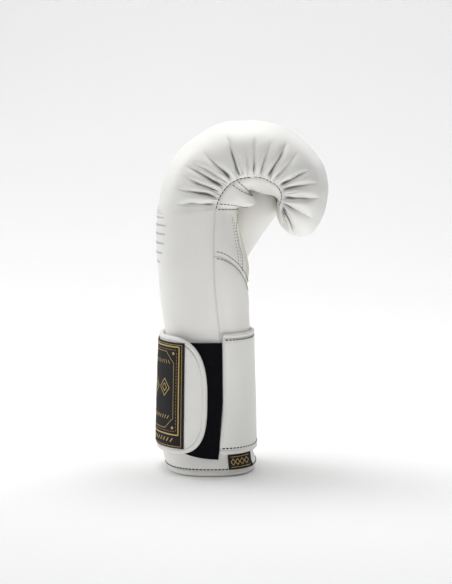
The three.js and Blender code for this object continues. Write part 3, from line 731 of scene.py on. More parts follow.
def fist_envelope(grow):
    """Closed skin round the whole fist, grown outwards, which trims the thumb."""
    places = np.linspace(0, LAST_SECTION, 150)
    section = fist_section(places)
    section = dict(section, depth=section["depth"] + grow, half=section["half"] + grow,
                   seam_half=section["seam_half"] + grow)
    shares = np.linspace(0, 1, 26)
    r, y = side_arc(section, shares[None, :] * np.ones((len(places), 1)))
    near = in_section(section, r, -y)
    far = in_section(section, r, y)[:, -2::-1]
    share = np.cos(math.pi * np.linspace(0, 1, 26)[1:-1])[None, :] * np.ones((len(places), 1))
    palm = panel_surface(places[:, None] * np.ones_like(share), share, -grow)
    return tube("envelope", np.concatenate([near, far, palm], 1))


def cut_away(piece, cutter):
    """Cuts one closed body out of another and deletes the cutter."""
    bpy.context.view_layer.objects.active = piece
    modifier = piece.modifiers.new("trim", "BOOLEAN")
    modifier.operation = "DIFFERENCE"
    modifier.object = cutter
    bpy.ops.object.modifier_apply(modifier="trim")
    bpy.data.objects.remove(cutter)


THUMB_GAP = 1.4

# Filling out of the thumb's padding: size of the even mesh, pressure, and the most that a point moves
SWELL_VOXEL = 2.5
SWELL_PRESSURE = 4.0
SWELL_MOST = 0.8
SWELL_FRAMES = 20


def mesh_points(mesh):
    points = np.zeros(len(mesh.vertices) * 3)
    mesh.vertices.foreach_get("co", points)
    return points.reshape(-1, 3)


def swell(piece, voxel, pressure, most):
    """Lets the padding fill out a closed piece's leather, no point of it further than a given step."""
    bpy.context.view_layer.objects.active = piece
    even = piece.modifiers.new("even_mesh", "REMESH")
    even.mode = "VOXEL"
    even.voxel_size = voxel * MM
    bpy.ops.object.modifier_apply(modifier="even_mesh")
    start = mesh_points(piece.data)
    cloth = piece.modifiers.new("padding", "CLOTH")
    cloth.settings.use_pressure = True
    cloth.settings.uniform_pressure_force = pressure
    cloth.settings.effector_weights.gravity = 0
    cloth.settings.quality = 5
    cloth.point_cache.frame_start = 1
    cloth.point_cache.frame_end = SWELL_FRAMES
    for number in range(1, SWELL_FRAMES + 1):
        bpy.context.scene.frame_set(number)
    shaped = piece.evaluated_get(bpy.context.evaluated_depsgraph_get())
    moved = mesh_points(shaped.data) - start
    size = np.linalg.norm(moved, axis=1, keepdims=True)
    moved *= np.minimum(1, most * MM / np.maximum(size, 1e-9))
    piece.modifiers.remove(cloth)
    piece.data.vertices.foreach_set("co", (start + moved).ravel())
    bpy.context.scene.frame_set(1)
    smooth = piece.modifiers.new("finer", "SUBSURF")
    smooth.levels = smooth.render_levels = 1
    bpy.ops.object.modifier_apply(modifier="finer")
    piece.data.shade_smooth()


def make_thumb(material):
    piece = tube("thumb_leather", thumb_rings())
    cut_away(piece, fist_envelope(THUMB_GAP))
    piece.data.materials.clear()
    swell(piece, SWELL_VOXEL, SWELL_PRESSURE, SWELL_MOST)
    return dress(piece, material, "thumb")


# Cuff and binding


def make_cuff(material):
    base = ROLL_HEIGHT + SEAM_GAP
    top = FIST_FOOT - SEAM_GAP
    turn, height = np.meshgrid(np.linspace(0, 2 * math.pi, 260, endpoint=False),
                               np.linspace(base, top, 90))
    outer = cuff_point(turn, height)
    low = 1 - smooth_step(base, STRAP_BOTTOM + 6, height)
    puff = 0.5 * low * np.sin(math.pi * np.clip((height - base) / 10, 0, 1))
    puff += 0.12 * low * np.sin(90 * turn)
    outer = outer + unit(outer * np.array([1, 1, 0])) * puff[..., None]
    turn_in, height_in = np.meshgrid(np.linspace(0, 2 * math.pi, 130, endpoint=False),
                                     np.linspace(base, top, 30))
    inner = cuff_point(turn_in, height_in, -CUFF_WALL)
    return dress(wall("cuff_leather", outer, inner, True), material, "cuff")


def make_cuff_binding(material):
    turn = np.linspace(0, 2 * math.pi, 420, endpoint=False)[:, None]
    around = np.linspace(0, 2 * math.pi, 28, endpoint=False)[None, :]
    out = 0.5 * signed_power(np.cos(around), 0.8)
    up = 0.5 + 0.5 * signed_power(np.sin(around), 0.8)
    pucker = 0.012 * np.sin(84 * turn) * up
    rings = cuff_point(turn, ROLL_HEIGHT / 2, (out + pucker - 0.5) * ROLL_WIDTH)
    rings[..., 2] = up * ROLL_HEIGHT
    return dress(tube("cuff_binding_leather", rings, closed=True), material,
                 "cuff_binding")


# Strap


def turn_at(x, near_side, height=STRAP_BOTTOM + STRAP_WIDTH / 2):
    """Turn at which the outline passes a given x, on the near side or on the thumb side."""
    half = abs(cuff_point(0.0 if x > 0 else math.pi, height)[0])
    turn = math.acos(signed_power(x / half, CUFF_ROUNDNESS / 2))
    return 2 * math.pi - turn if near_side else turn


def on_cuff(turn, height, out):
    """Points at a distance out from the cuff, and the direction out of it there."""
    step = 0.02
    along = cuff_point(turn + step, height) - cuff_point(turn - step, height)
    along[..., 2] = 0
    along = unit(along)
    normal = np.stack([along[..., 1], -along[..., 0], np.zeros_like(along[..., 0])], -1)
    return cuff_point(turn, height) + normal * np.asarray(out)[..., None], along, normal


STRAP_FIRST_TURN = turn_at(STRAP_START, True) - 2 * math.pi
STRAP_TURNS = np.linspace(STRAP_FIRST_TURN - 0.15, turn_at(STRAP_END, True), 421)
STRAP_LINE = cuff_point(STRAP_TURNS, STRAP_BOTTOM + STRAP_WIDTH / 2)
STRAP_LENGTHS = np.concatenate(
    [[0], np.cumsum(np.linalg.norm(np.diff(STRAP_LINE, axis=0), axis=-1))])
STRAP_LENGTHS -= np.interp(STRAP_FIRST_TURN, STRAP_TURNS, STRAP_LENGTHS)
STRAP_LENGTH = STRAP_LENGTHS[-1]


def length_at_turn(turn):
    return float(np.interp(turn, STRAP_TURNS, STRAP_LENGTHS))


def strap_stand_off(length):
    over = length_at_turn(turn_at(PATCH_FAR_EDGE, True))
    lift = PATCH_THICKNESS + SEAM_GAP
    return SEAM_GAP + BINDING_DIAMETER / 2 + lift * smooth_step(over - STRAP_RAMP, over, length)


def strap_surface(length, up, out):
    """Points of the strap at a length along it, a height above its middle and a distance out."""
    length, up, out = np.broadcast_arrays(np.asarray(length, float), up, out)
    near_start = 1 - smooth_step(0.1 * STRAP_LENGTH, 0.45 * STRAP_LENGTH, length)
    share = up / (STRAP_WIDTH / 2)
    slant = STRAP_SLANT * smooth_step(0.1, 1.0, -share) * (1 - smooth_step(0, 30, length))
    turn = np.interp(length - slant, STRAP_LENGTHS, STRAP_TURNS)
    height = STRAP_BOTTOM + STRAP_WIDTH / 2 + up + STRAP_RISE * np.maximum(0, share) * near_start
    return on_cuff(turn, height, strap_stand_off(length) + out)


def strap_edge(inset, bend_steps, end_steps):
    """Places along the strap, and its edge above and below the middle, round to the free end."""
    straight = STRAP_LENGTH - STRAP_END_LENGTH
    half = STRAP_WIDTH / 2 - inset
    length = np.linspace(0, straight, bend_steps)
    turn = np.linspace(0, math.pi / 2, end_steps + 1)[1:]
    power = 2 / STRAP_END_ROUNDNESS
    end = straight + (STRAP_END_LENGTH - inset) * signed_power(np.sin(turn), power)
    round_end = np.maximum(0, np.cos(turn)) ** power
    share = np.clip((end - straight) / (STRAP_END_LENGTH - inset), 0, 1)
    square_end = (1 - share ** STRAP_LOWER_ROUNDNESS) ** (1 / STRAP_LOWER_ROUNDNESS)
    whole = np.full(bend_steps, half)
    return (np.concatenate([length, end]), np.concatenate([whole, half * round_end]),
            -np.concatenate([whole, half * square_end]))


def make_strap(material):
    length, high, low = strap_edge(BINDING_DIAMETER - 0.4, 240, 60)
    share = np.linspace(-1, 1, 90)[None, :]
    half = np.where(share > 0, high[:, None], -low[:, None])
    up = half * share
    length = length[:, None] * np.ones_like(up)
    room = np.minimum(half * (1 - np.abs(share)), STRAP_LENGTH - BINDING_DIAMETER - length)
    puff = 0.7 * smooth_step(0, 5, room) - 0.45 + 0.15 * np.sin(0.12 * length + 2 * share)
    puff -= 2.4 * (1 - smooth_step(0, 3.5, length)) ** 2
    outer = strap_surface(length, up, STRAP_THICKNESS / 2 + puff)[0]
    inner = strap_surface(length[::4, ::6], up[::4, ::6], -STRAP_THICKNESS / 2)[0]
    return dress(wall("wrist_strap_leather", outer, inner), material,
                 "wrist_strap")


def edge_tube(name, length, up, radius, sides, pucker):
    """Roll that follows a line on the strap."""
    point, along, normal = strap_surface(length, up, 0)
    run = unit(np.stack([np.gradient(length), np.gradient(up)], -1))
    edge = along * -run[:, 1:2]
    edge[:, 2] = run[:, 0]
    turn = np.linspace(0, 2 * math.pi, sides, endpoint=False)
    step = np.concatenate([[0], np.cumsum(np.linalg.norm(np.diff(point, axis=0), axis=-1))])
    thick = radius * (1 - pucker * np.cos(2 * math.pi * step / 4.2) ** 2)
    ring = normal[:, None] * np.cos(turn)[None, :, None] + edge[:, None] * np.sin(turn)[None, :, None]
    rings = point[:, None] + ring * thick[:, None, None]
    return tube(name, rings)


def make_strap_binding(material):
    inset = BINDING_DIAMETER / 2
    length, high, low = strap_edge(inset, 260, 60)
    lengths = np.concatenate([length, length[-2::-1]])
    ups = np.concatenate([high, low[-2::-1]])
    piece = edge_tube("strap_binding_leather", lengths, ups, inset, 20, 0.035)
    return dress(piece, material, "strap_binding")


# Edge of the loop patch towards the palm: height and x
PATCH_SIDE = ((PATCH_BOTTOM, 6.0), (STRAP_BOTTOM, 6.4), (45, 8.2), (64, 9.6), (120, 9.6))


def make_loop_patch(material):
    across, share = np.meshgrid(np.linspace(0, 1, 120), np.linspace(0, 1, 230), indexing="ij")
    bottom = PATCH_BOTTOM + PATCH_SLANT * (1 - across) ** 1.5
    height = bottom + (PATCH_BOTTOM + PATCH_HEIGHT - bottom) * share
    first = turn_at(PATCH_FAR_EDGE, True)
    side_turns = [turn_at(x, True) for z, x in PATCH_SIDE]
    last = np.interp(height, [z for z, x in PATCH_SIDE], side_turns)
    turn = first + (last - first) * across
    random = np.random.default_rng(5)
    pile = random.uniform(-0.55, 0.1, turn.shape)
    pile[:2] = pile[-2:] = -0.4
    outer = on_cuff(turn, height, SEAM_GAP + PATCH_THICKNESS + pile)[0]
    inner = on_cuff(turn[::6, ::10], height[::6, ::10], SEAM_GAP + 0 * turn[::6, ::10])[0]
    return dress(wall("loop_patch_pile", outer, inner), material, "loop_patch")


# Labels

LABEL_FROM = length_at_turn(turn_at(LABEL_FAR_EDGE, False))
LABEL_TO = length_at_turn(turn_at(LABEL_EDGE, True))
LABEL_HALF = STRAP_WIDTH / 2 - BINDING_DIAMETER - SEAM_GAP - LABEL_MARGIN
LABEL_BASE = STRAP_THICKNESS / 2 + SEAM_GAP


def make_strap_label(material):
    length, up = np.meshgrid(np.linspace(LABEL_FROM, LABEL_TO, 150),
                             np.linspace(-LABEL_HALF, LABEL_HALF, 110), indexing="ij")
    edge = np.minimum(np.minimum(length - LABEL_FROM, LABEL_TO - length), LABEL_HALF - np.abs(up))
    thin_edge = 0.5 * (1 - smooth_step(0, 1.2, edge))
    outer = strap_surface(length, up, LABEL_BASE + LABEL_THICKNESS - thin_edge)[0]
    inner = strap_surface(length[::6, ::6], up[::6, ::6], LABEL_BASE)[0]
    piece = wall("strap_label_fabric", outer, inner)
    return dress(piece, material, "strap_label")


def cuff_label_surface(turn, height, out):
    return on_cuff(turn, height, SEAM_GAP + out)[0]


CUFF_LABEL_MIDDLE = (STRAP_BOTTOM + ROLL_HEIGHT) / 2


def make_cuff_label(material):
    middle = CUFF_LABEL_MIDDLE
    start = turn_at(CUFF_LABEL_CENTRE - CUFF_LABEL_LENGTH / 2, True, middle)
    end = turn_at(CUFF_LABEL_CENTRE + CUFF_LABEL_LENGTH / 2, True, middle)
    turn, height = np.meshgrid(
        np.linspace(start, end, 60),
        np.linspace(middle - CUFF_LABEL_HEIGHT / 2, middle + CUFF_LABEL_HEIGHT / 2, 30), indexing="ij")
    outer = cuff_label_surface(turn, height, LABEL_THICKNESS + 0 * turn)
    inner = cuff_label_surface(turn[::6, ::4], height[::6, ::4], 0 * turn[::6, ::4])
    return dress(wall("cuff_label_fabric", outer, inner), material, "cuff_label")


def ribbon(points, normals, width, height):
    """Corners of a flat ribbon along a line that lies on a surface."""
    run = unit(np.gradient(points, axis=0))
    across = unit(np.cross(run, normals))
    ring = [across * (width / 2), across * (width / 2) + normals * height,
            -across * (width / 2) + normals * height, -across * (width / 2)]
    return np.stack([points + corner for corner in ring], 1)


def joined_ribbons(name, bands):
    """One piece from many ribbons."""
    points = []
    faces = []
    for rings in bands:
        rows, sides = rings.shape[:2]
        first = sum(len(part) for part in points)
        points.append(rings.reshape(-1, 3))
        faces += grid_faces(rows, sides, first, True)
        faces.append([first + j for j in range(sides)][::-1])
        faces.append([first + (rows - 1) * sides + j for j in range(sides)])
    piece = mesh_object(name, np.concatenate(points), faces, smooth=False)
    return faces_out(piece)


PRINT_HEIGHT = 0.16
PRINT_SUNK = 0.03


def line_through(corners, step=0.8):
    """Points no further than a step apart along straight lines between corners."""
    corners = np.array(corners, float)
    parts = []
    for a, b in zip(corners[:-1], corners[1:]):
        count = max(2, int(np.ceil(np.linalg.norm(b - a) / step)) + 1)
        parts.append(a + (b - a) * np.linspace(0, 1, count)[:, None])
    return parts


def label_bands(corners, width):
    """Ribbons on the strap's label. Corners count from the middle of the label."""
    middle = (LABEL_FROM + LABEL_TO) / 2
    bands = []
    for part in line_through(corners):
        point, _, normal = strap_surface(
            middle + part[:, 0], part[:, 1], LABEL_BASE + LABEL_THICKNESS - PRINT_SUNK)
        bands.append(ribbon(point, normal, width, PRINT_HEIGHT))
    return bands


def frame_corners(half_length, half_height, chamfer, lift=0.0):
    """Rectangle with its corners cut off."""
    x, y, c = half_length, half_height, chamfer
    if c == 0:
        return [(-x, -y + lift), (x, -y + lift), (x, y + lift), (-x, y + lift), (-x, -y + lift)]
    return [(-x + c, -y + lift), (x - c, -y + lift), (x, -y + c + lift), (x, y - c + lift),
            (x - c, y + lift), (-x + c, y + lift), (-x, y - c + lift), (-x, -y + c + lift),
            (-x + c, -y + lift)]


def dashes(corners, dash, gap):
    """Short lines along the sides of an outline."""
    made = []
    corners = np.array(corners, float)
    for a, b in zip(corners[:-1], corners[1:]):
        length = np.linalg.norm(b - a)
        for start in np.arange(gap / 2, length - dash, dash + gap):
            made.append([a + (b - a) * start / length, a + (b - a) * (start + dash) / length])
    return made


def rhombus(x, y, half_x, half_y):
    return [(x - half_x, y), (x, y - half_y), (x + half_x, y), (x, y + half_y), (x - half_x, y)]


def label_design():
    """Plain geometric design: frames with cut corners, nested rhombi and rows of dashes."""
    half = (LABEL_TO - LABEL_FROM) / 2
    bands = []
    bands += label_bands(frame_corners(half - 2.0, LABEL_HALF - 1.8, 0), 0.35)
    bands += label_bands(frame_corners(half - 4.2, 37.4, 0, 4.0), 1.0)
    bands += label_bands(frame_corners(half - 8.8, 32.6, 9, 4.0), 0.35)
    for dash in dashes(frame_corners(half - 6.3, 34.7, 0, 4.0), 1.6, 1.1):
        bands += label_bands(dash, 0.25)
    for corner_x in (-1, 1):
        for corner_y in (-1, 1):
            bands += label_bands(rhombus(corner_x * (half - 9.4), 4 + corner_y * 31.6, 0.9, 0.9), 0.9)
    for size in (7.0, 12.0, 17.0):
        bands += label_bands(rhombus(0, 6, size * 1.15, size), 0.7)
    for x in (-30, 30):
        for size in (3.5, 7.5):
            bands += label_bands(rhombus(x, 6, size * 0.9, size), 0.6)
    for x in np.arange(-half + 16, half - 15, 3.6):
        bands += label_bands([(x, -20.5), (x + 1.8, -17.5)], 0.6)
        bands += label_bands([(x, 29.5), (x + 1.8, 26.5)], 0.5)
    for x in np.arange(-half + 9, half - 8, 4.4):
        bands += label_bands([(x, -39.6), (x + 2.4, -36.4)], 0.8)
    return joined_ribbons("strap_label_gold", bands)


def cuff_label_design():
    """Row of small rhombi between two lines on the cuff's label."""
    middle = CUFF_LABEL_MIDDLE
    bands = []
    shapes = [([(-7.4, -4.2), (7.4, -4.2)], 0.4), ([(-7.4, 4.2), (7.4, 4.2)], 0.4)]
    shapes += [(rhombus(x, 0, 1.7, 2.6), 0.6) for x in (-5.4, -1.8, 1.8, 5.4)]
    for corners, width in shapes:
        for part in line_through(corners, 0.5):
            x = CUFF_LABEL_CENTRE + part[:, 0]
            turn = np.array([turn_at(value, True, middle) for value in x])
            point, _, normal = on_cuff(
                turn, middle + part[:, 1], SEAM_GAP + LABEL_THICKNESS - PRINT_SUNK + 0 * turn)
            bands.append(ribbon(point, normal, width, PRINT_HEIGHT))
    return joined_ribbons("cuff_label_gold", bands)


# Stitches


def stitch_form():
    """Corners and faces of one stitch, a short rounded thread of unit size along X."""
    bpy.ops.mesh.primitive_uv_sphere_add(segments=8, ring_count=6, radius=1,
                                         rotation=(0, math.pi / 2, 0))
    sphere = bpy.context.object
    bpy.ops.object.transform_apply(rotation=True)
    points = np.array([v.co for v in sphere.data.vertices])
    faces = [list(face.vertices) for face in sphere.data.polygons]
    bpy.data.objects.remove(sphere)
    return points, faces


STITCH_POINTS, STITCH_FACES = stitch_form()


def stitch_row(points, normals, pitch, length, radius):
    """Corners of the stitches along a line: each one dips into the leather at its two ends."""
    step = np.linalg.norm(np.diff(points, axis=0), axis=-1)
    s = np.concatenate([[0], np.cumsum(step)])
    starts = np.arange((pitch - length) / 2, s[-1] - length, pitch)
    made = []
    for start in starts:
        at = start + length * (STITCH_POINTS[:, 0] + 1) / 2
        centre = np.stack([np.interp(at, s, points[:, k]) for k in range(3)], -1)
        normal = unit(np.stack([np.interp(at, s, normals[:, k]) for k in range(3)], -1))
        along = centre[np.argmax(STITCH_POINTS[:, 0])] - centre[np.argmin(STITCH_POINTS[:, 0])]
        across = unit(np.cross(normal, unit(along)[None, :]))
        sink = 0.55 * radius * STITCH_POINTS[:, 0] ** 2
        made.append(centre + across * (radius * STITCH_POINTS[:, 1:2])
                    + normal * (radius * STITCH_POINTS[:, 2:3] - sink[:, None]))
    return made


def joined_stitches(name, rows):
    stitches = [stitch for row in rows for stitch in row]
    faces = []
    for k in range(len(stitches)):
        first = k * len(STITCH_POINTS)
        faces += [[first + corner for corner in face] for face in STITCH_FACES]
    return faces_out(mesh_object(name, np.concatenate(stitches), faces))


def seam_line(low, high, side, out, down):
    """Line along the shell's seam between two places, moved out of the side and down."""
    places = np.linspace(low, high, 500)
    section = fist_section(places)
    r = section["seam"] + down
    points = section["palm"] + section["across"] * r[:, None]
    points[:, 1] += side * (section["seam_half"] + out)
    normal = np.tile([0.0, side * 1.0, 0.0], (len(places), 1)) - 0.6 * section["across"]
    return points, unit(normal)


def panel_line(panel, edge, offset, low=-0.999, high=0.999):
    """Line across the palm at a distance from one of a panel's edges, and the direction out."""
    share = np.sin(np.linspace(math.asin(low), math.asin(high), 500))
    step = offset / np.maximum(panel_length(panel, share), 3)
    points, normal = raised_panel(panel, np.abs(edge - step), share)
    return points + normal * 0.12, normal


def vent_border(side):
    """Line beside the palm's vent, from the heel up and in towards the grip pad."""
    t = np.linspace(0.02, 0.74, 300)
    share = side * (0.6 - 0.3 * smooth_step(0.45, 0.74, t) + 0.015 * np.sin(26 * t))
    points, normal = raised_panel(PANELS[1], t, share)
    return points + normal * 0.1, normal


# Stitches along the shell's seam: from and to which place, how far out of the side they lie, and
# their pitch, length and radius
SEAM_STITCHES = (
    (1.2, 7.6, 0.3, 2.5, 1.0, 0.2),
    (7.6, 14.5, 0.1, 3.3, 3.1, 0.48),
    (14.5, 23.5, 0.1, 3.3, 2.7, 0.3),
)

# Pitch, length and radius of the other stitches
VENT_STITCH = (2.6, 2.2, 0.3)
PANEL_STITCH = (3.2, 2.8, 0.36)
STRAP_STITCH = (3.3, 2.7, 0.6)
CUFF_STITCH = (3.2, 2.8, 0.55)

# How far the stitches lie from a panel's edge, and from the grip pad's lower edge
STITCH_INSET = 2.3
GRIP_STITCH_INSET = 4.6


def make_black_stitches(material):
    rows = []
    for side in (-1, 1):
        for low, high, out, *stitch in SEAM_STITCHES:
            rows.append(stitch_row(*seam_line(low, high, side, out, -0.2), *stitch))
        rows.append(stitch_row(*vent_border(side), *VENT_STITCH))
    for below, above in zip(PANELS[:-1], PANELS[1:]):
        over = GRIP_STITCH_INSET if above[0] == "grip_pad" else STITCH_INSET
        rows.append(stitch_row(*panel_line(below, 1, STITCH_INSET), *PANEL_STITCH))
        rows.append(stitch_row(*panel_line(above, 0, over), *PANEL_STITCH))
    rows += strap_stitches()
    rows.append(cuff_stitches())
    piece = joined_stitches("black_stitches", rows)
    return dress(piece, material)


def strap_stitches():
    """Stitches beside the strap's rolled edges, from its sewn end round to the label."""
    made = []
    length = np.linspace(1.5, LABEL_FROM - 4, 400)
    for side in (-1, 1):
        up = side * (STRAP_WIDTH / 2 - BINDING_DIAMETER - 1.0) * np.ones_like(length)
        point, _, normal = strap_surface(length, up, STRAP_THICKNESS / 2 - 0.3)
        made.append(stitch_row(point, normal, *STRAP_STITCH))
    return made


def cuff_stitches():
    """Line of stitches round the foot of the cuff, just above its binding."""
    turn = np.linspace(0, 2 * math.pi, 600)
    point, _, normal = on_cuff(turn, ROLL_HEIGHT + 0.9 + 0 * turn, 0.25 + 0 * turn)
    return stitch_row(point, normal, *CUFF_STITCH)


# Palm vent and emblem

# Lines of air holes on each side of the palm: share across, and where the line starts
VENT_LINES = ((0.655, 0.04), (0.725, 0.06))
VENT_END = 0.6
VENT_PITCH = 0.036
VENT_RADIUS = 0.6


def vent_shade_plug(share, t, radius):
    """Short black plug of painted shade standing for a small hole in the palm, at a share across and
    along its middle panel.
    """
    point, normal = raised_panel(PANELS[1], np.array([t]), np.array([share]))
    across = unit(np.cross(normal[0], np.array([0.0, 0.0, 1.0])))
    up = np.cross(across, normal[0])
    turn = np.linspace(0, 2 * math.pi, 10, endpoint=False)
    ring = across * np.cos(turn)[:, None] + up * np.sin(turn)[:, None]
    return np.stack([point[0] - normal[0] * 0.3 + ring * radius,
                     point[0] + normal[0] * 0.06 + ring * radius])


def make_vent_hole_shade(material):
    """Painted shade of two lines of small air holes down each side of the palm: black plugs set in the
    leather.
    """
    bands = []
    for side in (-1, 1):
        for share, first in VENT_LINES:
            for t in np.arange(first, VENT_END, VENT_PITCH):
                bands.append(vent_shade_plug(side * share, t, VENT_RADIUS))
    piece = joined_ribbons("palm_vent_hole_shade", bands)
    return dress(piece, material)


def back_point(place, y, out):
    """Points on the back of the hand at places along the sections and distances across."""
    section = fist_section(place)
    turn = np.arccos(np.clip(np.abs(y) / section["half"], 0, 1) ** (SHELL_ROUNDNESS / 2))
    rise = (section["depth"] - section["roll_top"]) * np.sin(turn) ** (2 / SHELL_ROUNDNESS)
    share = ROLL_SHARE + (1 - ROLL_SHARE) * turn / (math.pi / 2)
    rise += slow_waves(place, share, np.sign(y)) + out
    points = section["palm"] + section["across"] * (section["roll_top"] + rise)[:, None]
    points[:, 1] += y
    return points


# Stripes on the back of the hand: place of each, half its length, half its width in sections, and
# how far it is sunk in and stands proud
EMBLEM_PLACES = np.linspace(3.5, 7.3, 9)
EMBLEM_BARS = (27, 34, 39, 42, 44, 42, 39, 34, 27)
BAR_WIDTH = 0.07
BAR_SUNK = -0.5
BAR_PROUD = 0.22


def make_emblem(material):
    """Printed stripes across the back of the hand, longest in the middle."""
    bands = []
    for place, half in zip(EMBLEM_PLACES, EMBLEM_BARS):
        y = np.linspace(-half, half, 80)
        width = BAR_WIDTH * (1 - 0.5 * (y / half) ** 2)
        corners = [(-1, BAR_SUNK), (-1, BAR_PROUD), (1, BAR_PROUD), (1, BAR_SUNK)]
        bands.append(np.stack([back_point(place + side * width, y, out) for side, out in corners], 1))
    return dress(joined_ribbons("back_emblem", bands), material)


# Materials


def group_socket(tree, name, kind, direction, value=None):
    socket = tree.interface.new_socket(name=name, in_out=direction, socket_type=kind)
    if value is not None:
        socket.default_value = value
    return socket


def add_node(tree, kind, **settings):
    node = tree.nodes.new(kind)
    for key, value in settings.items():
        setattr(node, key, value)
    return node


def leather_group():
    """Grain, fine wrinkles and uneven tone of finished leather."""
    tree = bpy.data.node_groups.new("leather_surface", "ShaderNodeTree")
    group_socket(tree, "Grain Size", "NodeSocketFloat", "INPUT", 700.0)
    group_socket(tree, "Tone", "NodeSocketColor", "INPUT", (0.8, 0.8, 0.8, 1))
    group_socket(tree, "Shade Tone", "NodeSocketColor", "INPUT", (0.7, 0.7, 0.7, 1))
    group_socket(tree, "Height", "NodeSocketFloat", "OUTPUT")
    group_socket(tree, "Color", "NodeSocketColor", "OUTPUT")
    group_socket(tree, "Roughness", "NodeSocketFloat", "OUTPUT")
    start = add_node(tree, "NodeGroupInput")
    end = add_node(tree, "NodeGroupOutput")
    place = add_node(tree, "ShaderNodeTexCoord")
    cells = add_node(tree, "ShaderNodeTexVoronoi", feature="SMOOTH_F1")
    cells.inputs["Smoothness"].default_value = 0.4
    fine = add_node(tree, "ShaderNodeTexNoise")
    fine.inputs["Scale"].default_value = 1800
    fine.inputs["Detail"].default_value = 3
    broad = add_node(tree, "ShaderNodeTexNoise")
    broad.inputs["Scale"].default_value = 24
    broad.inputs["Detail"].default_value = 4
    total = add_node(tree, "ShaderNodeMath", operation="MULTIPLY_ADD")
    total.inputs[1].default_value = 0.35
    blend = add_node(tree, "ShaderNodeMix", data_type="RGBA")
    spread = add_node(tree, "ShaderNodeMapRange")
    spread.inputs["From Min"].default_value = 0.35
    spread.inputs["From Max"].default_value = 0.65
    rough = add_node(tree, "ShaderNodeMapRange")
    rough.inputs["To Min"].default_value = 0.38
    rough.inputs["To Max"].default_value = 0.5
    link = tree.links.new
    link(place.outputs["Object"], cells.inputs["Vector"])
    link(place.outputs["Object"], fine.inputs["Vector"])
    link(place.outputs["Object"], broad.inputs["Vector"])
    link(start.outputs["Grain Size"], cells.inputs["Scale"])
    link(fine.outputs["Fac"], total.inputs[0])
    link(cells.outputs["Distance"], total.inputs[2])
    link(total.outputs[0], end.inputs["Height"])
    link(broad.outputs["Fac"], spread.inputs["Value"])
    link(spread.outputs["Result"], blend.inputs["Factor"])
    link(start.outputs["Shade Tone"], blend.inputs[6])
    link(start.outputs["Tone"], blend.inputs[7])
    link(blend.outputs[2], end.inputs["Color"])
    link(broad.outputs["Fac"], rough.inputs["Value"])
    link(rough.outputs["Result"], end.inputs["Roughness"])
    return tree


def fibre_group():
    """Crossed threads of a woven label or the tangled loops of a fastener."""
    tree = bpy.data.node_groups.new("woven_surface", "ShaderNodeTree")
    group_socket(tree, "Thread Size", "NodeSocketFloat", "INPUT", 900.0)
    group_socket(tree, "Tone", "NodeSocketColor", "INPUT", (0.02, 0.02, 0.02, 1))
    group_socket(tree, "Thread Tone", "NodeSocketColor", "INPUT", (0.05, 0.05, 0.05, 1))
    group_socket(tree, "Height", "NodeSocketFloat", "OUTPUT")
    group_socket(tree, "Color", "NodeSocketColor", "OUTPUT")
    start = add_node(tree, "NodeGroupInput")
    end = add_node(tree, "NodeGroupOutput")
    place = add_node(tree, "ShaderNodeTexCoord")
    stretch = add_node(tree, "ShaderNodeVectorMath", operation="MULTIPLY")
    stretch.inputs[1].default_value = (1, 1, 2.2)
    threads = add_node(tree, "ShaderNodeTexNoise")
    threads.inputs["Detail"].default_value = 5
    threads.inputs["Roughness"].default_value = 0.7
    lines = add_node(tree, "ShaderNodeTexWave", wave_type="BANDS", bands_direction="Z")
    lines.inputs["Scale"].default_value = 420
    lines.inputs["Distortion"].default_value = 1.5
    total = add_node(tree, "ShaderNodeMath", operation="MULTIPLY_ADD")
    total.inputs[1].default_value = 0.5
    blend = add_node(tree, "ShaderNodeMix", data_type="RGBA")
    link = tree.links.new
    link(place.outputs["Object"], stretch.inputs[0])
    link(stretch.outputs[0], threads.inputs["Vector"])
    link(start.outputs["Thread Size"], threads.inputs["Scale"])
    link(place.outputs["Object"], lines.inputs["Vector"])
    link(lines.outputs["Fac"], total.inputs[0])
    link(threads.outputs["Fac"], total.inputs[2])
    link(total.outputs[0], end.inputs["Height"])
    link(threads.outputs["Fac"], blend.inputs["Factor"])
    link(start.outputs["Tone"], blend.inputs[6])
    link(start.outputs["Thread Tone"], blend.inputs[7])
    link(blend.outputs[2], end.inputs["Color"])
    return tree


def new_material(name):
    material = bpy.data.materials.new(name)
    material.use_nodes = True
    return material, material.node_tree, material.node_tree.nodes["Principled BSDF"]


# Tint of the painted shade multiplied into the leather at the bottom of the creases
CREASE_SHADE_TINT = (0.42, 0.415, 0.40, 1)
YELLOW_TONE = (0.72, 0.68, 0.57, 1)


def leather(name, surface, tone, shade, grain_size, strength, warm_to=None):
    """Finished leather with its grain, darkened by painted shade in its creases, and yellowed down the
    middle if asked.
    """
    material, tree, shader = new_material(name)
    group = add_node(tree, "ShaderNodeGroup", node_tree=surface)
    group.inputs["Grain Size"].default_value = grain_size
    group.inputs["Tone"].default_value = (*tone, 1)
    group.inputs["Shade Tone"].default_value = (*shade, 1)
    bump = add_node(tree, "ShaderNodeBump")
    bump.inputs["Strength"].default_value = strength
    bump.inputs["Distance"].default_value = 0.0003
    # Painted shade: the leather's colour is darkened by how deep its point lies in a crease
    crease_shade_attribute = add_node(tree, "ShaderNodeAttribute", attribute_name="painted_crease_shade")
    crease_shaded = add_node(tree, "ShaderNodeMix", data_type="RGBA", blend_type="MULTIPLY")
    crease_shaded.inputs[7].default_value = CREASE_SHADE_TINT
    tree.links.new(crease_shade_attribute.outputs["Fac"], crease_shaded.inputs["Factor"])
    tree.links.new(group.outputs["Color"], crease_shaded.inputs[6])
    colour = crease_shaded.outputs[2]
    if warm_to:
        colour = yellowed(tree, colour, warm_to)
    tree.links.new(colour, shader.inputs["Base Color"])
    tree.links.new(group.outputs["Roughness"], shader.inputs["Roughness"])
    tree.links.new(group.outputs["Height"], bump.inputs["Height"])
    tree.links.new(bump.outputs["Normal"], shader.inputs["Normal"])
    return material


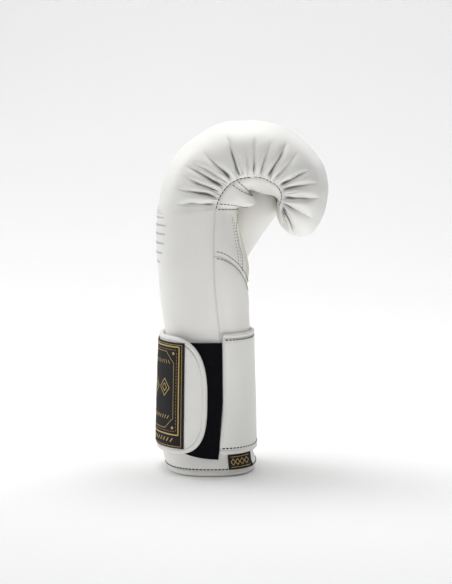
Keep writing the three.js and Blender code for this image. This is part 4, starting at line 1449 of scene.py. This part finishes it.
def yellowed(tree, colour, half_width):
    """Mixes a warm tone into a colour near the middle plane of the glove."""
    place = add_node(tree, "ShaderNodeTexCoord")
    split = add_node(tree, "ShaderNodeSeparateXYZ")
    from_middle = add_node(tree, "ShaderNodeMath", operation="ABSOLUTE")
    fade = add_node(tree, "ShaderNodeMapRange", interpolation_type="SMOOTHSTEP")
    fade.inputs["From Min"].default_value = half_width
    fade.inputs["From Max"].default_value = half_width * 1.12
    fade.inputs["To Min"].default_value = 1.0
    fade.inputs["To Max"].default_value = 0.0
    mix = add_node(tree, "ShaderNodeMix", data_type="RGBA")
    mix.inputs[7].default_value = YELLOW_TONE
    tree.links.new(place.outputs["Object"], split.inputs[0])
    tree.links.new(split.outputs["Y"], from_middle.inputs[0])
    tree.links.new(from_middle.outputs[0], fade.inputs["Value"])
    tree.links.new(fade.outputs["Result"], mix.inputs["Factor"])
    tree.links.new(colour, mix.inputs[6])
    return mix.outputs[2]


def fabric(name, surface, tone, thread, thread_size, strength, roughness, sheen):
    material, tree, shader = new_material(name)
    group = add_node(tree, "ShaderNodeGroup", node_tree=surface)
    group.inputs["Thread Size"].default_value = thread_size
    group.inputs["Tone"].default_value = (*tone, 1)
    group.inputs["Thread Tone"].default_value = (*thread, 1)
    bump = add_node(tree, "ShaderNodeBump")
    bump.inputs["Strength"].default_value = strength
    bump.inputs["Distance"].default_value = 0.0004
    shader.inputs["Roughness"].default_value = roughness
    shader.inputs["Sheen Weight"].default_value = sheen
    shader.inputs["Specular IOR Level"].default_value = 0.2
    tree.links.new(group.outputs["Color"], shader.inputs["Base Color"])
    tree.links.new(group.outputs["Height"], bump.inputs["Height"])
    tree.links.new(bump.outputs["Normal"], shader.inputs["Normal"])
    return material


# Leathers: name, tone, tone of its darker patches, grain's scale, bump, and for the middle of the
# palm the half width that is yellowed
LEATHERS = {
    "white": ("white_leather", (0.90, 0.895, 0.87), (0.87, 0.862, 0.835), 750, 0.2, None),
    "inner": ("inner_leather", (0.90, 0.89, 0.86), (0.86, 0.85, 0.815), 850, 0.25, None),
    "palm": ("palm_leather", (0.90, 0.89, 0.86), (0.86, 0.85, 0.815), 850, 0.25, 0.03),
    "trim": ("trim_leather", (0.89, 0.88, 0.85), (0.85, 0.84, 0.81), 900, 0.25, None),
}

# Fabrics and threads: name, tone, tone of its threads, thread's scale, bump, roughness and sheen
FABRICS = {
    "loop": ("loop_pile", (0.001, 0.001, 0.002), (0.008, 0.008, 0.011), 900, 0.8, 0.95, 0.0),
    "label": ("label_weave", (0.014, 0.013, 0.014), (0.03, 0.028, 0.028), 1500, 0.3, 0.85, 0.0),
    "thread": ("black_thread", (0.008, 0.008, 0.009), (0.02, 0.02, 0.022), 2500, 0.4, 0.6, 0.2),
    "gold": ("gold_thread", (0.50, 0.34, 0.11), (0.72, 0.55, 0.24), 1600, 0.3, 0.42, 0.0),
    "silver": ("silver_print", (0.48, 0.48, 0.49), (0.6, 0.6, 0.61), 1200, 0.2, 0.35, 0.0),
}
GOLD_METALLIC = 0.55


def make_materials():
    hide = leather_group()
    weave = fibre_group()
    made = {key: leather(row[0], hide, *row[1:]) for key, row in LEATHERS.items()}
    made.update({key: fabric(row[0], weave, *row[1:]) for key, row in FABRICS.items()})
    gold = made["gold"].node_tree.nodes["Principled BSDF"]
    gold.inputs["Metallic"].default_value = GOLD_METALLIC
    return made


# Stage, light and camera

CAMERA_PLACE = (-0.0132, -1.518, 0.2936)
CAMERA_TILT = math.radians(84.66)
CAMERA_LENS = 108.1

# Floor, in metres, and where and how it curves up
FLOOR_WIDTH = 9
FLOOR_LENGTH = 7
BEND_START = 0.9
BEND_RADIUS = 0.8


def make_camera():
    data = bpy.data.cameras.new("camera")
    data.lens = CAMERA_LENS
    data.sensor_width = 36
    data.clip_end = 30
    camera = bpy.data.objects.new("camera", data)
    camera.location = CAMERA_PLACE
    camera.rotation_euler = (CAMERA_TILT, 0, 0)
    bpy.context.scene.collection.objects.link(camera)
    bpy.context.scene.camera = camera


def make_stage():
    """Pale floor that curves up into the background."""
    bpy.ops.mesh.primitive_grid_add(x_subdivisions=8, y_subdivisions=60, size=1)
    floor = bpy.context.object
    floor.name = "floor"
    for vertex in floor.data.vertices:
        across = vertex.co.x * FLOOR_WIDTH
        along = vertex.co.y * FLOOR_LENGTH
        turn = min(max((along - BEND_START) / BEND_RADIUS, 0), math.pi / 2)
        beyond = max(0, along - BEND_START - BEND_RADIUS * math.pi / 2)
        flat = min(along, BEND_START)
        vertex.co = (across, flat + BEND_RADIUS * math.sin(turn),
                     BEND_RADIUS * (1 - math.cos(turn)) + beyond)
    floor.data.shade_smooth()
    material, _, shader = new_material("paper")
    shader.inputs["Base Color"].default_value = (0.92, 0.92, 0.92, 1)
    shader.inputs["Roughness"].default_value = 0.9
    shader.inputs["Specular IOR Level"].default_value = 0.1
    floor.data.materials.append(material)


def area_light(name, place, target, size, power):
    data = bpy.data.lights.new(name, "AREA")
    data.shape = "DISK"
    data.size = size
    data.energy = power
    light = bpy.data.objects.new(name, data)
    light.location = place
    light.visible_camera = False
    light.rotation_euler = (Vector(target) - Vector(place)).to_track_quat("-Z", "Y").to_euler()
    bpy.context.scene.collection.objects.link(light)


WORLD_BRIGHT_SIDE = (-0.8, 0.6, 0)
WORLD_HIGH = 0.58
WORLD_LOW = 0.03
WORLD_SEEN = 0.91


def make_world():
    """Light from all round, weakest from the front right, with a paler tone where it is seen."""
    world = bpy.data.worlds.new("studio")
    world.use_nodes = True
    tree = world.node_tree
    light = tree.nodes["Background"]
    seen = add_node(tree, "ShaderNodeBackground")
    for background in (light, seen):
        background.inputs["Color"].default_value = (1, 1, 1, 1)
    seen.inputs["Strength"].default_value = WORLD_SEEN
    place = add_node(tree, "ShaderNodeTexCoord")
    towards = add_node(tree, "ShaderNodeVectorMath", operation="DOT_PRODUCT")
    towards.inputs[1].default_value = WORLD_BRIGHT_SIDE
    side = add_node(tree, "ShaderNodeMapRange", interpolation_type="SMOOTHSTEP")
    side.inputs["From Min"].default_value = -1
    side.inputs["From Max"].default_value = 1
    side.inputs["To Min"].default_value = WORLD_LOW
    side.inputs["To Max"].default_value = WORLD_HIGH
    path = add_node(tree, "ShaderNodeLightPath")
    mix = add_node(tree, "ShaderNodeMixShader")
    link = tree.links.new
    link(place.outputs["Generated"], towards.inputs[0])
    link(towards.outputs["Value"], side.inputs["Value"])
    link(side.outputs["Result"], light.inputs["Strength"])
    link(path.outputs["Is Camera Ray"], mix.inputs["Fac"])
    link(light.outputs[0], mix.inputs[1])
    link(seen.outputs[0], mix.inputs[2])
    link(mix.outputs[0], tree.nodes["World Output"].inputs["Surface"])
    bpy.context.scene.world = world


# Lights, in metres and watts: name, place, what it points at, size and power
LIGHTS = (
    ("top_box", (0.05, 0.15, 1.5), (0, 0, 0.2), 1.4, 14.4),
    ("back_left_box", (-1.2, 0.7, 0.9), (0, 0, 0.2), 1.1, 7.4),
    ("back_right_box", (1.1, 1.2, 1.1), (0, 0, 0.2), 1.1, 4.2),
    ("backdrop_box", (-0.1, 0.9, 2.2), (-0.1, 2.2, 0.85), 1.6, 9.8),
    ("palm_card", (0.1, -0.14, 0.11), (0.04, -0.06, 0.24), 0.1, 0.03),
    ("floor_card", (0.03, -0.36, 0.004), (0.03, -0.36, 1), 0.6, 0.1),
    ("front_box", (0.1, -1.6, 0.45), (0, 0, 0.08), 0.8, 3.0),
)


def make_lights():
    for row in LIGHTS:
        area_light(*row)
    bpy.context.scene.view_settings.view_transform = "Standard"


make_camera()
make_stage()
make_world()
make_lights()
MATERIALS = make_materials()
make_fist_shell(MATERIALS["white"])
for panel_row in PANELS:
    make_panel(panel_row, MATERIALS["palm" if panel_row[0] == "palm_centre_panel" else "inner"])
make_thumb(MATERIALS["white"])
make_cuff(MATERIALS["white"])
make_cuff_binding(MATERIALS["trim"])
make_loop_patch(MATERIALS["loop"])
make_strap(MATERIALS["white"])
make_strap_binding(MATERIALS["trim"])
make_strap_label(MATERIALS["label"])
make_cuff_label(MATERIALS["label"])
dress(label_design(), MATERIALS["gold"])
dress(cuff_label_design(), MATERIALS["gold"])
make_black_stitches(MATERIALS["thread"])
# Black plugs in the thread's colour: painted shade for the vent's holes
make_vent_hole_shade(MATERIALS["thread"])
make_emblem(MATERIALS["silver"])
